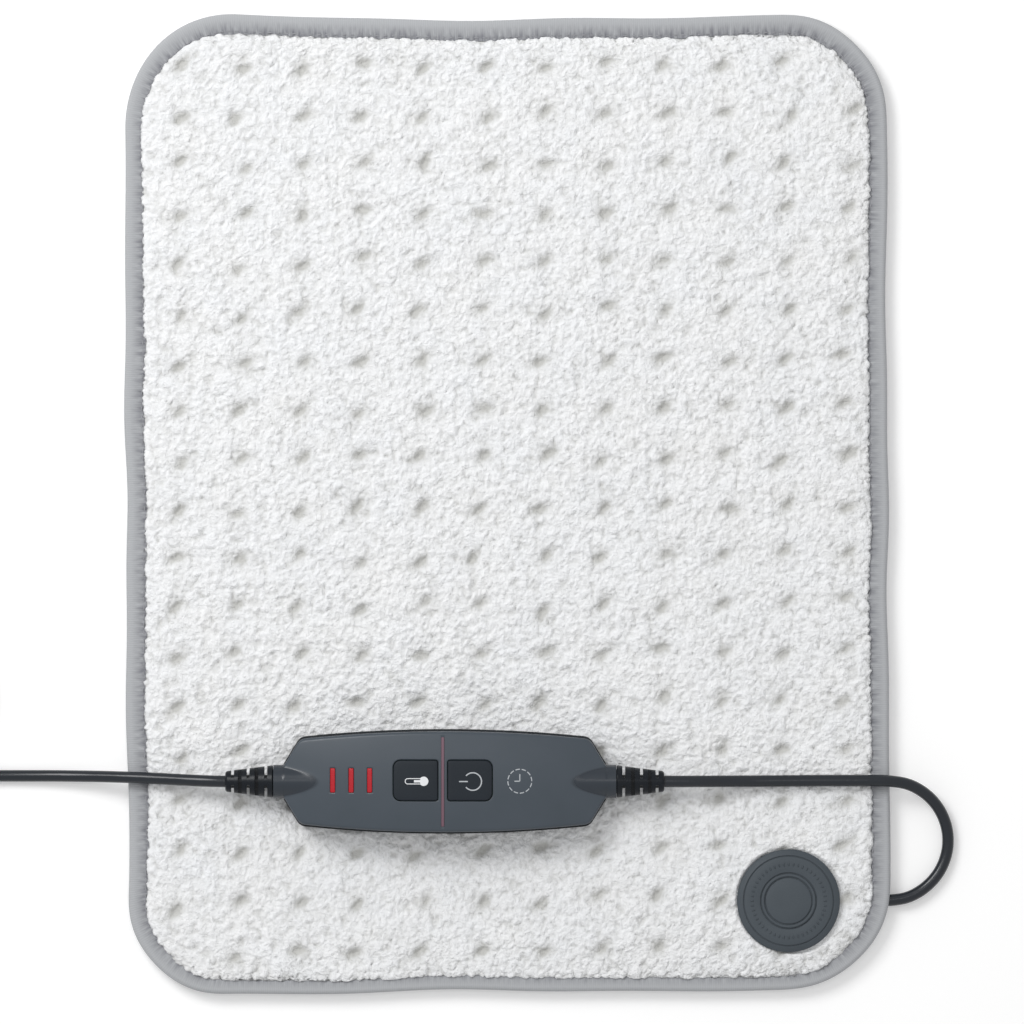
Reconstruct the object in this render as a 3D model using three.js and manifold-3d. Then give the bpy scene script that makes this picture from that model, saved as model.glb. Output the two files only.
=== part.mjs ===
// Electric heating pad with an in-line hand controller, in millimetres, +Z up.
// The pad lies flat on z = 0 with its length along Y.
// The controller lies on the fleece with its length along X.
// The origin is the middle of the pad's underside.

import * as THREE from "three";
import { mergeVertices } from "three/addons/utils/BufferGeometryUtils.js";
import Module from "manifold-3d";

const wasm = await Module();
wasm.setup();

// Clearances
const gap = 0.3; // between neighbouring pieces that touch or fit
const cordGap = 0.5; // around a lead that passes through a wall

// Facets
const arcSteps = 5; // on each bowed stretch or half of a round corner of an outline
const midFacet = 0.3; // share of a rounding's radius left at its middle facet
const discSides = 32;
const rodSides = 12;

// Pad outline and layers
const padWidth = 312;
const padLength = 400;
const padCornerRadius = 46;
const bindingWidth = 8.6;
const bindingThickness = 0.7;
const bindingRounding = 1.6;
const edgeHeight = 7.4; // the bound edge, outside
const coverCloth = 1; // each cover where the binding holds it
const fleeceThickness = 3;
const fleeceRounding = 2.5;
const fleeceStep = 1.5; // cloth between the fleece's side and the pocket for the layers
const waddingThickness = 1.5;
const carrierThickness = 1;

// Heating wire
const wireDiameter = 1.8;
const wireRuns = 12;
const wireMargin = 30; // from the pad's outline to the outer runs
const wireSpacing = 22; // from the runs' right turns to the riser
const wireRiserOffset = 4; // riser, right of the coupling's middle
const wireReturnOffset = 5; // last run, below the coupling's middle
const wireTail = 2; // bare end inside the coupling

// Lead coupling in the pad's lower right corner
const couplingRadius = 21.2;
const couplingInsetX = 39.7;
const couplingInsetY = 36.7;
const couplingProud = 1.7; // cap above the fleece
const couplingBevelRadius = 18.5;
const couplingBevelDepth = 1.6;
const couplingGrooveOuter = 11.5;
const couplingGrooveInner = 9.6;
const couplingGrooveDepth = 0.6;
const couplingFloor = 1.5;
const couplingRim = 6.2;
const spigotDepth = 3; // below the cap's flange
const squeezedFleece = 1.2; // fleece held under the cap
const couplingScrewAngles = [60, 180, 300];
const couplingScrewHead = { radius: 2.2, height: 1.4 };
const couplingScrewRadius = 1.1;
const couplingCapSkin = 0.9; // cap material over a screw's tip
const terminalSize = { length: 9, width: 9 };
const cutoutRadius = 1.7;
const cutoutLength = 10;

// Controller case
const controllerX = -25.1;
const controllerY = -114;
const caseLength = 136.6;
const caseMidWidth = 43.6;
const caseShoulderWidth = 36.2;
const caseShoulderInset = 8.6; // from the case's end to its shoulders
const caseEndWidth = 14.4;
const caseShoulderRounding = 5;
const caseHeight = 22;
const caseWall = 2;
const casePartingHeight = 9.5;
const crownEndDrop = 9.2; // fall of the top face from the middle to the ends
const crownSideDrop = 1.5; // fall of the top face from the middle to the sides
const caseTopRounding = 1.5;
const caseBottomRounding = 3;
const fairingRadius = 6.8;
const fairingReach = 2.1; // beyond the case's end
const fairingLength = 20;

// Strain relief boots, one at each end of the controller
const bootLength = 19;
const bootTipRadius = 4.5;
const bootCoreRadius = 3.5;
const bootRings = 4;
const bootSlot = 1.3;
const bootNeckRadius = 3.6;
const bootFlangeRadius = 4.8;
const bootFlangeThickness = 3;

// Control panel, placed from the middle of the case
const panelX = -0.8;
const panelY = 0.6;
const buttonWidth = 18.6;
const buttonDepth = 16.9;
const buttonSpacing = 3.7; // between the two buttons
const buttonOuterRounding = 3;
const buttonInnerRounding = 1;
const buttonProud = 0.7;
const buttonEdge = 0.5;
const buttonLip = 1.2;
const buttonLipThickness = 1.2;
const buttonPostRadius = 2.2;
const buttonTravel = 0.6;
const dividerWidth = 1.6;
const dividerLength = 36.6;
const dividerDepth = 0.9;
const dividerProud = 0.15;
const lightCount = 3;
const lightPitch = 7.6;
const lightInset = 3; // from the board's left end to the first light's middle
const lightWidth = 2;
const lightLength = 11;
const lightProud = 0.15;

// Circuit board and what stands on it
const boardInset = 19.3; // from the case's end to the board's end
const boardWidth = 28;
const boardThickness = 1.6;
const boardHeight = 6.3; // underside above the case's underside
const boardPost = { inset: 5, y: 11, radius: 2 }; // insets here are from the board's end
const switchSize = 6;
const switchHeight = 3.6;
const plungerRadius = 1.7;
const plungerHeight = 2.5;
const plungerProud = 1.2;
const ledSize = { length: 2.8, width: 3, height: 1.9 };
const chipSize = { length: 10, width: 6, height: 1.6, inset: 23, y: -8.5 };
const triacSize = { length: 10, width: 15, height: 4.6, inset: 13, y: 4 };
const capacitorSize = { length: 7, width: 13, height: 8, inset: 23.5, y: 4 };
const fuseSize = { radius: 2.6, length: 20, inset: 29, y: -10.8 };

// Case screws and cord anchorage
const screwInset = 14.3; // from the case's end
const screwY = 11;
const screwRadius = 1.2;
const screwHead = { radius: 2.6, height: 1.6 };
const screwBite = 3.2; // in the upper shell
const screwPostRadius = 3.4;
const clampSize = { length: 4, width: 13, height: 9.5 };
const clampInset = 8.3; // from the case's end to the clamp's middle
const blockSize = { length: 5, width: 10, height: 9.5 };
const coreRadius = 0.8;
const coreSpacing = 3;

// Leads, coil and plug
const leadDiameter = 4.8;
const leadSides = 10;
const coilX = -252;
const coilY = -76.15;
const coilMeanRadius = 28.5;
const coilColumns = 4;
const coilLayers = 2;
const coilTurnPitch = 4.9;
const tieThickness = 0.8;
const tieWidth = 6;
const tieAngle = 60;
const plugX = -268;
const plugY = -12; // rear end of the plug's strain relief
const plugWidth = 35.3;
const plugThickness = 13.7;
const plugBodyLength = 35;
const plugBootLength = 22;
const plugBootRadius = 3.7;
const pinRadius = 2;
const pinLength = 19;
const pinSpacing = 18.6;
const pinCoreRadius = 1.2;
const pinRoot = 6;
const sleeveWall = 0.4;
const sleeveLength = 10;

// Pad lead: from the controller over the pad's right edge, round on the table and into the bound edge
const padLeadRoute = [
  [64.9, -114, 20.3],
  [72, -114, 20.1],
  [82, -114, 18.5],
  [93, -114, 15.7],
  [104, -114, 13.8],
  [116, -113.9, 13.25],
  [130, -113.8, 13.25],
  [141, -113.8, 13.2],
  [149, -113.8, 12.5],
  [157.5, -114, 11.2],
  [165.9, -115.5, 9.4],
  [173.3, -119.8, 6.8],
  [178.8, -126.3, 4.5],
  [181.8, -134.4, 3.1],
  [181.8, -142.9, 2.7],
  [178.8, -151, 2.8],
  [173.3, -157.5, 3.1],
  [165.9, -161.9, 3.5],
  [157.5, -163.3, 3.7],
  [148, -163.3, 3.7],
  [140, -163.3, 3.7],
  [132.4, -163.3, 3.7],
];

// Mains lead: from the controller over the pad's left edge and along the table to the coil
const mainsLeadRoute = [
  [-115.1, -114, 20.3],
  [-121, -113.9, 20.1],
  [-129, -113.6, 18.6],
  [-137, -113.2, 16.3],
  [-144, -112.9, 14.3],
  [-151, -112.6, 12.5],
  [-158, -112.4, 10.7],
  [-166, -112.2, 8.3],
  [-175, -112.1, 5.8],
  [-185, -112, 4],
  [-196, -112, 3.1],
  [-208, -112, 2.8],
  [-220, -112, 3.1],
  [-232.5, -112, 3.5],
];

// Plug tail: from the coil's upper layer down to the plug
const plugTailRoute = [
  [-287.85, -56.9, 8.3],
  [-287, -49.5, 8],
  [-283.8, -42, 7.6],
  [-278.6, -35, 7.2],
  [-273, -28.3, 6.95],
  [-269.2, -22, 6.85],
  [-268, -16.6, 6.85],
  [-268, -12.5, 6.85],
];

// Levels of the pad's layers, from the table up
const leadRadius = leadDiameter / 2;
const rearFlangeBottom = bindingThickness + gap;
const rearTop = rearFlangeBottom + coverCloth;
const carrierBottom = rearTop + gap;
const carrierTop = carrierBottom + carrierThickness;
const wireAxis = carrierTop + gap + wireDiameter / 2;
const waddingBottom = wireAxis + wireDiameter / 2 + gap;
const waddingTop = waddingBottom + waddingThickness;
const fleeceBottom = waddingTop + gap;
const padTop = fleeceBottom + fleeceThickness;
const frontFlangeTop = edgeHeight - bindingThickness - gap;
const frontFlangeBottom = frontFlangeTop - coverCloth;
const flangeInset = bindingThickness + gap;
const fleeceInset = bindingWidth + gap;
const pocketInset = fleeceInset + fleeceStep;
const layerInset = pocketInset + gap;

// Levels and places of the coupling
const couplingX = padWidth / 2 - couplingInsetX;
const couplingY = couplingInsetY - padLength / 2;
const couplingLeadAxis = edgeHeight / 2;
const cupRadius = couplingRadius - couplingRim;
const baseTop = fleeceBottom - gap;
const capBottom = fleeceBottom + squeezedFleece + gap;
const capTop = padTop + couplingProud;
const spigotRadius = cupRadius - gap;
const spigotBottom = capBottom - spigotDepth;

// Levels of the controller, from the case's underside up
const controllerZ = padTop + gap;
const seam = gap / 2; // each shell stops this far from the parting plane
const boardTop = boardHeight + boardThickness;
const seatHeight = boardTop + gap;
const switchTop = seatHeight + switchHeight;
const plungerTop = switchTop + plungerProud;
const plungerBottom = plungerTop - plungerHeight;
const ledTop = seatHeight + ledSize.height;
const caseEnd = caseLength / 2;
const boardEnd = caseEnd - boardInset;
const clampX = caseEnd - clampInset;
const screwX = caseEnd - screwInset;
const bootStart = caseEnd + fairingReach + gap;
const bootPocketEnd = caseEnd - caseWall;

// Turns a geometry into a solid that can be joined and cut.
function solidOf(geometry) {
  const bare = geometry.clone();
  bare.deleteAttribute("normal");
  bare.deleteAttribute("uv");
  const merged = mergeVertices(bare, 1e-4);
  const corners = merged.index.array;
  const kept = [];
  for (let i = 0; i < corners.length; i += 3) {
    const [a, b, c] = [corners[i], corners[i + 1], corners[i + 2]];
    if (a !== b && b !== c && c !== a) kept.push(a, b, c);
  }
  const mesh = new wasm.Mesh({
    numProp: 3,
    vertProperties: new Float32Array(merged.attributes.position.array),
    triVerts: new Uint32Array(kept),
  });
  return new wasm.Manifold(mesh);
}

// Turns a solid back into a geometry.
function geometryOf(solid) {
  const mesh = solid.getMesh();
  const geometry = new THREE.BufferGeometry();
  geometry.setAttribute("position", new THREE.BufferAttribute(mesh.vertProperties, 3));
  geometry.setIndex(new THREE.BufferAttribute(mesh.triVerts, 1));
  geometry.computeVertexNormals();
  return geometry;
}

// Takes each tool away from a piece.
function cut(base, ...tools) {
  return tools.reduce((solid, tool) => solid.subtract(tool), base);
}

// Joins several solids into one.
function join(base, ...others) {
  return others.reduce((solid, other) => solid.add(other), base);
}

// A box from its middle in plan, its sizes and its lower and upper level.
function block(x, y, length, width, bottom, top) {
  const geometry = new THREE.BoxGeometry(length, width, top - bottom);
  return solidOf(geometry.translate(x, y, (bottom + top) / 2));
}

// A round bar along Z.
function post(x, y, radius, bottom, top, sides = rodSides) {
  const geometry = new THREE.CylinderGeometry(radius, radius, top - bottom, sides);
  return solidOf(geometry.rotateX(Math.PI / 2).translate(x, y, (bottom + top) / 2));
}

// A round bar along X.
function barAlongX(y, z, radius, start, end, sides = rodSides) {
  const geometry = new THREE.CylinderGeometry(radius, radius, Math.abs(end - start), sides);
  return solidOf(geometry.rotateZ(Math.PI / 2).translate((start + end) / 2, y, z));
}

// A round bar along Y.
function barAlongY(x, z, radius, start, end, sides = rodSides) {
  const geometry = new THREE.CylinderGeometry(radius, radius, Math.abs(end - start), sides);
  return solidOf(geometry.translate(x, (start + end) / 2, z));
}

// A turned piece: a profile of [radius, height] points, upwards on the outside, about the Z axis.
function turned(profile, sides) {
  const points = profile.map(([radius, height]) => new THREE.Vector2(radius, height));
  return solidOf(new THREE.LatheGeometry(points, sides).rotateX(Math.PI / 2));
}

// A flat outline raised between two levels.
function prism(shape, bottom, top) {
  const depth = top - bottom;
  const geometry = new THREE.ExtrudeGeometry(shape, { depth, bevelEnabled: false, curveSegments: arcSteps });
  return solidOf(geometry.translate(0, 0, bottom));
}

// A closed body through loops of [x, y, z] points, each counter-clockwise as seen from the last loop's end.
// The two lids are filled in the plane that plan gives: the level plane, unless the loops stand upright.
function loft(loops, plan = ([x, y]) => new THREE.Vector2(x, y)) {
  const count = loops[0].length;
  const corners = [];
  for (let level = 0; level + 1 < loops.length; level++) {
    for (let i = 0; i < count; i++) {
      const a = level * count + i;
      const b = level * count + ((i + 1) % count);
      corners.push(a, b, b + count, a, b + count, a + count);
    }
  }
  const addLid = (level, facesUp) => {
    const outline = loops[level].map(plan);
    for (const [a, b, c] of THREE.ShapeUtils.triangulateShape(outline, [])) {
      const area = THREE.ShapeUtils.area([outline[a], outline[b], outline[c]]);
      const lid = area > 0 === facesUp ? [a, b, c] : [a, c, b];
      corners.push(...lid.map((corner) => corner + level * count));
    }
  };
  addLid(0, false);
  addLid(loops.length - 1, true);
  const geometry = new THREE.BufferGeometry();
  geometry.setAttribute("position", new THREE.Float32BufferAttribute(loops.flat(2), 3));
  geometry.setIndex(corners);
  return solidOf(geometry);
}

// A curve that passes through its points one step at a time, so straight runs need few steps.
class StationCurve extends THREE.Curve {
  constructor(points) {
    super();
    this.points = points;
  }

  getPoint(share) {
    const place = share * (this.points.length - 1);
    const index = Math.min(Math.floor(place), this.points.length - 2);
    return this.points[index].clone().lerp(this.points[index + 1], place - index);
  }

  getPointAt(share) {
    return this.getPoint(share);
  }

  getTangentAt(share) {
    const last = this.points.length - 1;
    const index = Math.round(share * last);
    const before = this.points[Math.max(index - 1, 0)];
    const after = this.points[Math.min(index + 1, last)];
    return after.clone().sub(before).normalize();
  }
}

// A round wire along a curve.
function wireAlong(curve, radius, sides, steps) {
  const section = [];
  for (let i = 0; i < sides; i++) {
    const angle = (i / sides) * 2 * Math.PI;
    section.push(new THREE.Vector2(radius * Math.cos(angle), radius * Math.sin(angle)));
  }
  const settings = { extrudePath: curve, steps, bevelEnabled: false };
  return new THREE.ExtrudeGeometry(new THREE.Shape(section), settings);
}

// A lead along hand-chosen points.
function leadAlong(route) {
  const curve = new THREE.CatmullRomCurve3(route.map((point) => new THREE.Vector3(...point)));
  const steps = Math.round(curve.getLength() / (2 * leadDiameter)) + 2;
  return wireAlong(curve, leadRadius, leadSides, steps);
}

// The pad's outline, pulled in by a distance.
function padShape(inset) {
  const x = padWidth / 2 - inset;
  const y = padLength / 2 - inset;
  const radius = Math.max(padCornerRadius - inset, 1);
  const shape = new THREE.Shape();
  shape.moveTo(x, radius - y);
  shape.absarc(x - radius, y - radius, radius, 0, Math.PI / 2);
  shape.absarc(radius - x, y - radius, radius, Math.PI / 2, Math.PI);
  shape.absarc(radius - x, radius - y, radius, Math.PI, 1.5 * Math.PI);
  shape.absarc(x - radius, radius - y, radius, 1.5 * Math.PI, 2 * Math.PI);
  return shape;
}

// The pad's outline as a loop at one level.
function padLoop(inset, level) {
  const points = padShape(inset).getPoints(arcSteps);
  const last = points[points.length - 1];
  if (last.distanceTo(points[0]) < 1e-6) points.pop();
  return points.map((point) => [point.x, point.y, level]);
}

// The way that the pad lead takes through the bound edge to the coupling.
function leadChannel() {
  const start = couplingX + cupRadius - gap;
  return barAlongX(couplingY, couplingLeadAxis, leadRadius + cordGap, start, padWidth / 2 + gap);
}

// The round hole that the coupling's base fills in the inner layers.
function couplingHole() {
  return post(couplingX, couplingY, couplingRadius + gap, -gap, baseTop + gap, discSides);
}

// Places of the coupling's screws.
function couplingScrewPlaces() {
  const ring = couplingRadius - couplingRim / 2;
  return couplingScrewAngles.map((degrees) => {
    const angle = THREE.MathUtils.degToRad(degrees);
    return [couplingX + ring * Math.cos(angle), couplingY + ring * Math.sin(angle)];
  });
}

function frontCover() {
  const body = loft([
    padLoop(flangeInset, frontFlangeBottom),
    padLoop(flangeInset, frontFlangeTop),
    padLoop(fleeceInset, frontFlangeTop),
    padLoop(fleeceInset, padTop - fleeceRounding),
    padLoop(fleeceInset + midFacet * fleeceRounding, padTop - midFacet * fleeceRounding),
    padLoop(fleeceInset + fleeceRounding, padTop),
  ]);
  const pocket = prism(padShape(pocketInset), frontFlangeBottom - gap, fleeceBottom);
  const seatLevel = fleeceBottom + squeezedFleece;
  const capSeat = post(couplingX, couplingY, couplingRadius + gap, seatLevel, padTop + gap, discSides);
  const spigotHole = post(couplingX, couplingY, spigotRadius + gap, fleeceBottom - gap, padTop, discSides);
  const screwHoles = couplingScrewPlaces().map(([x, y]) =>
    post(x, y, couplingScrewRadius + gap, fleeceBottom - gap, padTop),
  );
  return cut(body, pocket, capSeat, spigotHole, leadChannel(), ...screwHoles);
}

function rearCover() {
  const body = loft([
    padLoop(fleeceInset, 0),
    padLoop(fleeceInset, rearFlangeBottom),
    padLoop(flangeInset, rearFlangeBottom),
    padLoop(flangeInset, rearTop),
  ]);
  return cut(body, couplingHole(), leadChannel());
}

function innerLayer(bottom, top) {
  return cut(prism(padShape(layerInset), bottom, top), couplingHole(), leadChannel());
}

function edgeBinding() {
  const body = loft([
    padLoop(bindingRounding, 0),
    padLoop(midFacet * bindingRounding, midFacet * bindingRounding),
    padLoop(0, bindingRounding),
    padLoop(0, edgeHeight - bindingRounding),
    padLoop(midFacet * bindingRounding, edgeHeight - midFacet * bindingRounding),
    padLoop(bindingRounding, edgeHeight),
  ]);
  const opening = prism(padShape(bindingWidth), -gap, edgeHeight + gap);
  const fold = prism(padShape(bindingThickness), bindingThickness, edgeHeight - bindingThickness);
  return cut(body, opening, fold, leadChannel());
}

// The heating wire rises beside the right edge, then zigzags down the pad and back to the coupling.
function heatingWire() {
  const top = padLength / 2 - wireMargin;
  const bottom = couplingY - wireReturnOffset;
  const pitch = (top - bottom) / (wireRuns - 1);
  const bend = pitch / 2;
  const riserX = couplingX + wireRiserOffset;
  const leftX = wireMargin - padWidth / 2 + bend;
  const rightX = riserX - wireSpacing - bend;
  const bendSteps = 6;
  const points = [new THREE.Vector3(riserX, couplingY + cupRadius - wireTail, wireAxis)];
  const addBend = (x, y, from, to) => {
    for (let i = 0; i <= bendSteps; i++) {
      const angle = from + ((to - from) * i) / bendSteps;
      points.push(new THREE.Vector3(x + bend * Math.cos(angle), y + bend * Math.sin(angle), wireAxis));
    }
  };
  addBend(riserX - bend, top - bend, 0, Math.PI / 2);
  for (let run = 0; run + 1 < wireRuns; run++) {
    const goesLeft = run % 2 === 0;
    const middleY = top - run * pitch - bend;
    if (goesLeft) addBend(leftX, middleY, Math.PI / 2, 1.5 * Math.PI);
    else addBend(rightX, middleY, Math.PI / 2, -Math.PI / 2);
  }
  points.push(new THREE.Vector3(couplingX - cupRadius + wireTail, bottom, wireAxis));
  return wireAlong(new StationCurve(points), wireDiameter / 2, 6, points.length - 1);
}

function couplingCap() {
  const body = turned(
    [
      [0, spigotBottom],
      [spigotRadius, spigotBottom],
      [spigotRadius, capBottom],
      [couplingRadius, capBottom],
      [couplingRadius, capTop - couplingBevelDepth],
      [couplingBevelRadius, capTop],
      [couplingGrooveOuter, capTop],
      [couplingGrooveOuter, capTop - couplingGrooveDepth],
      [couplingGrooveInner, capTop - couplingGrooveDepth],
      [couplingGrooveInner, capTop],
      [0, capTop],
    ],
    discSides,
  ).translate([couplingX, couplingY, 0]);
  const screwHoles = couplingScrewPlaces().map(([x, y]) =>
    post(x, y, couplingScrewRadius + gap, capBottom - gap, capTop - couplingCapSkin),
  );
  return cut(body, ...screwHoles);
}

function couplingBase() {
  const body = turned(
    [
      [0, 0],
      [couplingRadius, 0],
      [couplingRadius, baseTop],
      [cupRadius, baseTop],
      [cupRadius, couplingFloor],
      [0, couplingFloor],
    ],
    discSides,
  ).translate([couplingX, couplingY, 0]);
  const headDepth = couplingScrewHead.height + 2 * gap;
  const screwHoles = couplingScrewPlaces().flatMap(([x, y]) => [
    post(x, y, couplingScrewRadius + gap, -gap, baseTop + gap),
    post(x, y, couplingScrewHead.radius + gap, -gap, headDepth),
  ]);
  const wireHole = wireDiameter / 2 + gap;
  const riserHole = barAlongY(
    couplingX + wireRiserOffset, wireAxis, wireHole, couplingY, couplingY + couplingRadius + gap);
  const returnHole = barAlongX(
    couplingY - wireReturnOffset, wireAxis, wireHole, couplingX, couplingX - couplingRadius - gap);
  return cut(body, leadChannel(), riserHole, returnHole, ...screwHoles);
}

function couplingTerminal() {
  const bottom = couplingFloor + gap;
  const x = couplingX + cupRadius / 2 - gap;
  const body = block(x, couplingY, terminalSize.length, terminalSize.width, bottom, spigotBottom - gap);
  const slot = block(x, couplingY, terminalSize.length / 2, 1, bottom + 1, spigotBottom);
  return cut(body, slot);
}

// The overheat cut-out lies on the coupling's floor beside the terminal.
function overheatCutout() {
  const x = couplingX - cupRadius / 2;
  const z = couplingFloor + gap + cutoutRadius;
  const y = couplingY + wireReturnOffset / 2;
  return barAlongY(x, z, cutoutRadius, y - cutoutLength / 2, y + cutoutLength / 2);
}

// A screw from its head's underside level up to its tip, head down.
function screw(x, y, head, radius, headBottom, tip) {
  return turned(
    [
      [0, headBottom],
      [head.radius, headBottom],
      [head.radius, headBottom + head.height],
      [radius, headBottom + head.height],
      [radius, tip - radius],
      [0, tip],
    ],
    12,
  ).translate([x, y, 0]);
}

function couplingScrew(place) {
  const [x, y] = couplingScrewPlaces()[place];
  const tip = capTop - couplingCapSkin - gap;
  return screw(x, y, couplingScrewHead, couplingScrewRadius, gap, tip);
}

// Height of the controller's crowned top face.
function crown(x, y) {
  const along = x / caseEnd;
  const across = y / (caseMidWidth / 2);
  return caseHeight - crownEndDrop * along * along - crownSideDrop * across * across;
}

// The case's outline: bowed long sides, rounded shoulders and slanting ends.
function caseOutline() {
  const shoulderX = caseEnd - caseShoulderInset;
  const shoulderY = caseShoulderWidth / 2;
  const midY = caseMidWidth / 2;
  const endY = caseEndWidth / 2;
  const sideX = shoulderX - caseShoulderRounding;
  const lean = (2 * caseShoulderRounding) / sideX;
  const sideY = (shoulderY + lean * midY) / (1 + lean);
  const bowY = 2 * midY - sideY;
  const slant = caseShoulderRounding / Math.hypot(caseEnd - shoulderX, shoulderY - endY);
  const cornerX = shoulderX + (caseEnd - shoulderX) * slant;
  const cornerY = shoulderY + (endY - shoulderY) * slant;
  const shape = new THREE.Shape();
  shape.moveTo(caseEnd, -endY);
  shape.lineTo(caseEnd, endY);
  shape.lineTo(cornerX, cornerY);
  shape.quadraticCurveTo(shoulderX, shoulderY, sideX, sideY);
  shape.quadraticCurveTo(0, bowY, -sideX, sideY);
  shape.quadraticCurveTo(-shoulderX, shoulderY, -cornerX, cornerY);
  shape.lineTo(-caseEnd, endY);
  shape.lineTo(-caseEnd, -endY);
  shape.lineTo(-cornerX, -cornerY);
  shape.quadraticCurveTo(-shoulderX, -shoulderY, -sideX, -sideY);
  shape.quadraticCurveTo(0, -bowY, sideX, -sideY);
  shape.quadraticCurveTo(shoulderX, -shoulderY, cornerX, -cornerY);
  const points = shape.getPoints(arcSteps);
  if (points[points.length - 1].distanceTo(points[0]) < 1e-6) points.pop();
  return points;
}

// A convex outline pulled in by a distance, square to its sides.
function insetOutline(outline, inset) {
  return outline.map((point, i) => {
    const before = outline[(i + outline.length - 1) % outline.length];
    const after = outline[(i + 1) % outline.length];
    const first = point.clone().sub(before).normalize();
    const second = after.clone().sub(point).normalize();
    const normal = new THREE.Vector2(-first.y - second.y, first.x + second.x).normalize();
    const square = normal.x * -first.y + normal.y * first.x;
    return point.clone().addScaledVector(normal, inset / square);
  });
}

// A loop of the case, pulled in by a distance and shrunk about the middle, with a level for each place.
function caseLoop(inset, level, share = 1) {
  return insetOutline(caseOutline(), inset).map((point) => {
    const x = point.x * share;
    const y = point.y * share;
    return [x, y, level(x, y)];
  });
}

// The body under the crowned top face, from a level up.
function crownedBody(inset, bottom, below, rounding) {
  const top = (x, y) => crown(x, y) - below;
  const loops = [caseLoop(inset, () => bottom)];
  if (rounding > 0) {
    loops.push(caseLoop(inset, (x, y) => top(x, y) - rounding));
    loops.push(caseLoop(inset + midFacet * rounding, (x, y) => top(x, y) - midFacet * rounding));
  }
  for (const share of [1, 0.72, 0.42, 0.15]) loops.push(caseLoop(inset + rounding, top, share));
  return loft(loops);
}

// Cuts for the boot's neck and flange at one end of the case; side is +1 or -1.
function bootCuts(side) {
  const neck = barAlongX(
    0, casePartingHeight, bootNeckRadius + gap, side * (bootPocketEnd - 1), side * (bootStart + 1), 20);
  const pocket = barAlongX(
    0, casePartingHeight, bootFlangeRadius + gap, side * (caseEnd - fairingLength), side * bootPocketEnd, 20);
  return [neck, pocket];
}

// The round fairing that leads from the case to a boot; side is +1 or -1.
function fairing(side) {
  const outer = side * (caseEnd + fairingReach);
  return barAlongX(0, casePartingHeight, fairingRadius, side * (caseEnd - fairingLength), outer, 24);
}

function screwPlaces() {
  return [[screwX, screwY], [-screwX, screwY], [-screwX, -screwY], [screwX, -screwY]];
}

// A straight bar across the case about (x, y), its top at a height over the crowned face.
function crownedBar(x, y, length, width, bottom, above) {
  const rows = 8;
  const near = x - length / 2;
  const far = x + length / 2;
  const sections = Array.from({ length: rows + 1 }, (_, row) => {
    const place = y + width * (row / rows - 0.5);
    return [
      [near, place, bottom(near, place)],
      [near, place, crown(near, place) + above],
      [far, place, crown(far, place) + above],
      [far, place, bottom(far, place)],
    ];
  });
  return loft(sections, (point) => new THREE.Vector2(point[2], point[0]));
}

// Middle of a button along the case; side is -1 for temperature and +1 for power.
function buttonX(side) {
  return panelX + (side * (buttonSpacing + buttonWidth)) / 2;
}

// Plan of a button, grown by a distance, with the larger rounding on its outer side.
function buttonPlan(side, grow) {
  const x = buttonX(side);
  const halfWidth = buttonWidth / 2 + grow;
  const halfDepth = buttonDepth / 2 + grow;
  const outer = Math.max(buttonOuterRounding + grow, 0.2);
  const inner = Math.max(buttonInnerRounding + grow, 0.2);
  const right = side > 0 ? outer : inner;
  const left = side > 0 ? inner : outer;
  const quarter = Math.PI / 2;
  const corners = [
    [x + halfWidth - right, panelY + halfDepth - right, right, 0],
    [x - halfWidth + left, panelY + halfDepth - left, left, quarter],
    [x - halfWidth + left, panelY - halfDepth + left, left, 2 * quarter],
    [x + halfWidth - right, panelY - halfDepth + right, right, 3 * quarter],
  ];
  const cornerSteps = 4;
  return corners.flatMap(([cx, cy, radius, start]) => {
    const points = [];
    for (let i = 0; i <= cornerSteps; i++) {
      const angle = start + (quarter * i) / cornerSteps;
      points.push([cx + radius * Math.cos(angle), cy + radius * Math.sin(angle)]);
    }
    return points;
  });
}

function buttonLoop(side, grow, level) {
  return buttonPlan(side, grow).map(([x, y]) => [x, y, level(x, y)]);
}

// Top of a button's lip: under the lowest place of the case's ceiling above it.
function lipTop(side) {
  const farX = Math.abs(buttonX(side)) + buttonWidth / 2 + buttonLip;
  const farY = Math.abs(panelY) + buttonDepth / 2 + buttonLip;
  return crown(farX, farY) - caseWall - gap;
}

function lightX(index) {
  return lightInset - boardEnd + index * lightPitch;
}

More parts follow.
